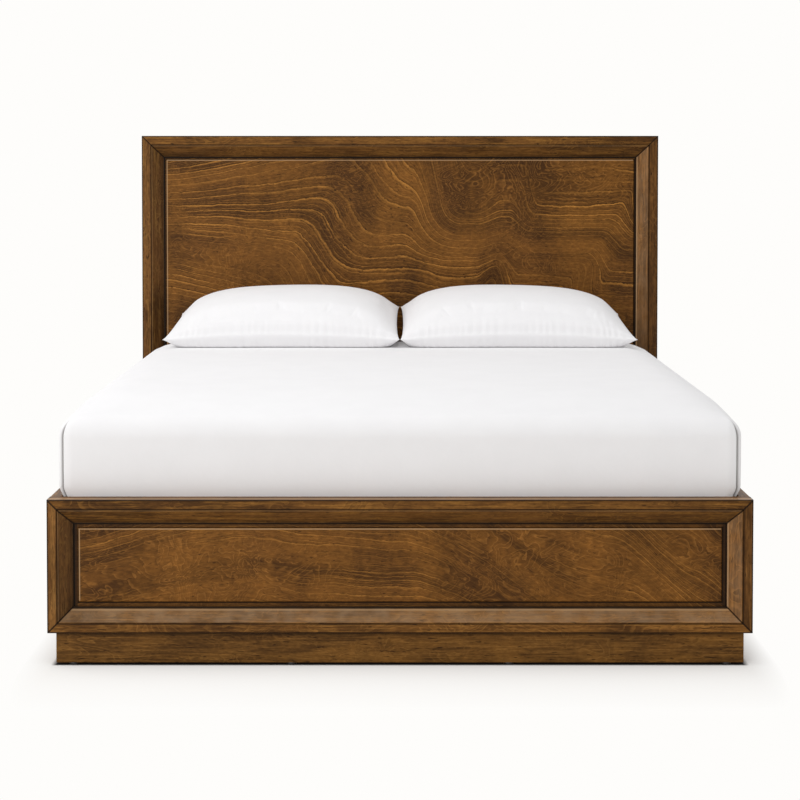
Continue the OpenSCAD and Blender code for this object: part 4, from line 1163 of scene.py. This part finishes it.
def inflate(piece, edge, loose):
    """Lets the filling push the cloth out, then keeps each point near its own place."""
    start, normals = of_points(piece), of_points(piece, "normal")
    pins = piece.vertex_groups.new(name="seam")
    pins.add(edge, 1.0, "REPLACE")
    cloth = piece.modifiers.new("cloth", "CLOTH")
    settings = cloth.settings
    settings.quality = CLOTH_QUALITY
    settings.mass = 0.2
    settings.tension_stiffness = 25
    settings.compression_stiffness = 25
    settings.shear_stiffness = 8
    settings.bending_stiffness = 0.15
    settings.air_damping = 4
    settings.use_pressure = True
    settings.uniform_pressure_force = PRESSURE
    settings.shrink_min = -SURPLUS
    settings.vertex_group_mass = "seam"
    settings.effector_weights.gravity = 0
    cloth.collision_settings.use_collision = False
    cloth.point_cache.frame_end = CLOTH_FRAMES
    scene = bpy.context.scene
    for frame_number in range(1, CLOTH_FRAMES + 1):
        scene.frame_set(frame_number)
    step = of_points(piece.evaluated_get(bpy.context.evaluated_depsgraph_get())) - start
    piece.modifiers.remove(cloth)
    scene.frame_set(1)
    outward = np.sum(step * normals, axis=1, keepdims=True)
    spread = np.percentile(outward, (2, 50, 98)) * 1000
    print(piece.name, "moved outward by", np.round(spread, 1), "mm")
    outward -= np.median(outward)
    kept = np.clip(outward, -MOST_IN, MOST_OUT)
    return start + normals * kept * loose[:, None]


print("cloth runs for", CLOTH_FRAMES, "frames")

# %% Where the pillows lie
PILLOW_GAP = 0.009
pillow_x = (PILLOW_W + PILLOW_GAP) / 2
pillow_y = (pillow_low.y + pillow_high.y) / 2


def lay_down(piece, points, mirror):
    """Puts a left pillow's points in place, or mirrors them to the right."""
    points[:, 0] = (points[:, 0] - pillow_x) * mirror
    points[:, 1] += pillow_y
    piece.data.vertices.foreach_set("co", points.ravel())
    if mirror < 0:
        piece.data.flip_normals()
    piece.data.update()


print("pillow centres at", round(pillow_x, 4), "to both sides")

# %% Build the pillows
COLUMNS, ROWS, FILL_COLUMNS, FILL_ROWS = 160, 70, 48, 30
CASE_INSET, FILL_INSET, CASE_T = -0.001, -0.0085, 0.0008
HEM, TIP_LIMIT = 0.0022, 0.0035
for side, mirror in (("left", 1), ("right", -1)):
    case, edge, place = pillow_grid(
        "pillowcase_cloth_" + side, COLUMNS, ROWS, CASE_INSET, case_percale)
    points, normals = of_points(case), of_points(case, "normal")
    points = inflate(case, edge, looseness(*place))
    points += normals * gathers(*place)[:, None]
    hem = points[edge, :2]
    points[edge, :2] = hem * (1 + HEM / np.linalg.norm(hem, axis=1, keepdims=True))
    points[:, 2] = np.maximum(points[:, 2], rest_z)
    points[:, 0] = np.minimum(points[:, 0], PILLOW_W / 2 + TIP_LIMIT)
    lay_down(case, points, mirror)
    smooth = case.modifiers.new("finer", "SUBSURF")
    smooth.levels = smooth.render_levels = 1
    thick = case.modifiers.new("thickness", "SOLIDIFY")
    thick.thickness = CASE_T
    thick.offset = -1
    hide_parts("pillowcase_" + side)
    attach(case, "pillow_" + side)
    fill, _, _ = pillow_grid(
        "pillow_down_" + side, FILL_COLUMNS, FILL_ROWS, FILL_INSET, ticking)
    lay_down(fill, of_points(fill), mirror)
    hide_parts("pillow_" + side)
    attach(fill, "pillow_" + side)

# %% [markdown]
# ## The studio
# The photograph has a white floor that runs into a white background without a line, and
# a soft shadow right under the bed. The floor is a real surface, so it takes the shadow,
# and with distance from the bed it turns into the colour of the background. The lamp behind
# the photographer would light the gap under the plinth, which is black in the photograph,
# so a painted shadow darkens the floor there. A wide soft lamp hangs above, weaker ones
# stand at the left and behind the photographer, and the world fills the shadows.

# %% How the floor fades into the background
BACKGROUND = "#fefdfb"
DARK_GAP, FADE_FROM, FADE_TO, SIDE_HASTE = 0.013, -0.03, 0.47, 6.0


def background_rays(tree):
    """1 for the rays that see the background: straight, mirrored or through glass."""
    path = add(tree, "LightPath").node
    mirrored = add(
        tree, "Math", (path.outputs["Is Camera Ray"], path.outputs["Is Glossy Ray"]),
        operation="MAXIMUM")
    return add(
        tree, "Math", (mirrored, path.outputs["Is Transmission Ray"]), operation="MAXIMUM")


floor_material, tree = new_material("painted_studio_floor")
place = add(tree, "TexCoord", out="Object")
beyond = add(tree, "VectorMath", {0: place}, operation="ABSOLUTE")
beyond = add(tree, "VectorMath", {
    0: beyond, 1: (PLINTH_BOX[1].x, -PLINTH_BOX[0].y, 1.0)}, operation="SUBTRACT")
beyond = add(tree, "VectorMath", {0: beyond, 1: (0, 0, 0)}, operation="MAXIMUM")
off_plinth = add(tree, "VectorMath", {0: beyond}, out="Value", operation="LENGTH")
# Painted shadow on the floor under the bed, fading out just beyond the plinths.
clear = add(tree, "MapRange", (off_plinth, 0.0, DARK_GAP, 0.0, 1.0))
beyond = add(tree, "VectorMath", {0: beyond, 1: (SIDE_HASTE, 1.0, 0.0)}, operation="MULTIPLY")
distance = add(tree, "VectorMath", {0: beyond}, out="Value", operation="LENGTH")
faded = add(tree, "MapRange", (distance, FADE_FROM, FADE_TO, 0.0, 1.0))
fade = add(tree, "Math", (faded, clear), operation="MULTIPLY")
fade = add(tree, "Math", (fade, background_rays(tree)), operation="MULTIPLY")
print("the floor is plain background", FADE_TO, "m from the plinths")

# %% Paint the floor
SPECK_MM, FLOOR_SIDE = 4, 30.0
FLOOR_PAINT, FLOOR_SPECK, PAINTED_GAP_SHADOW = "#fdfbf8", "#fbf9f6", "#2e2a27"
specks = add(tree, "TexNoise", {"Vector": place, "Scale": per_metre(SPECK_MM)})
paint = add(tree, "Mix", {0: specks, 6: FLOOR_PAINT, 7: FLOOR_SPECK}, 2, data_type="RGBA")
# The painted shadow under the bed.
paint = add(tree, "Mix", {0: clear, 6: PAINTED_GAP_SHADOW, 7: paint}, 2, data_type="RGBA")
matt = add(tree, "BsdfDiffuse", {"Color": paint, "Roughness": 0.8})
glow = add(tree, "Emission", {"Color": BACKGROUND, "Strength": 1.0})
surface = add(tree, "MixShader", {0: fade, 1: matt, 2: glow})
add(tree, "OutputMaterial", {"Surface": surface})
bpy.ops.mesh.primitive_plane_add(size=FLOOR_SIDE, location=(0, 0, 0))
floor = bpy.context.object
floor.name = "studio_floor"
floor.data.materials.append(floor_material)
print("floor:", FLOOR_SIDE, "m wide, dark up to", DARK_GAP * 1000, "mm from the plinths")

# %% The world
WORLD_FILL = 0.62
scene = bpy.context.scene
world = bpy.data.worlds.new("studio")
scene.world = world
world.use_nodes = True
tree = world.node_tree
tree.nodes.clear()
fill_light = add(tree, "Background", {"Color": "#ffffff", "Strength": WORLD_FILL})
backdrop = add(tree, "Background", {"Color": BACKGROUND, "Strength": 1.0})
sky = add(tree, "MixShader", {0: background_rays(tree), 1: fill_light, 2: backdrop})
add(tree, "OutputWorld", {"Surface": sky})
print("the world fills the shadows with", WORLD_FILL)


# %% Lamps
def softbox(name, place, target, width, height, watts):
    """A wide lamp that looks at its target."""
    lamp = bpy.data.lights.new(name, "AREA")
    lamp.shape = "RECTANGLE"
    lamp.size, lamp.size_y = width, height
    lamp.energy = watts
    holder = bpy.data.objects.new(name, lamp)
    holder.location = place
    aim = Vector(target) - Vector(place)
    holder.rotation_euler = aim.to_track_quat("-Z", "Y").to_euler()
    scene.collection.objects.link(holder)


softbox("overhead_softbox", (-1.2, -0.4, 4.0), (0, 0, 0.4), 3.0, 3.0, 55)
softbox("left_softbox", (-5.0, -2.4, 2.4), (0, -0.4, 0.6), 3.0, 3.0, 39)
softbox("front_softbox", (-2.0, -6.4, 1.2), (0, 0, 0.5), 3.0, 1.6, 53)

scene.view_settings.view_transform = "Standard"
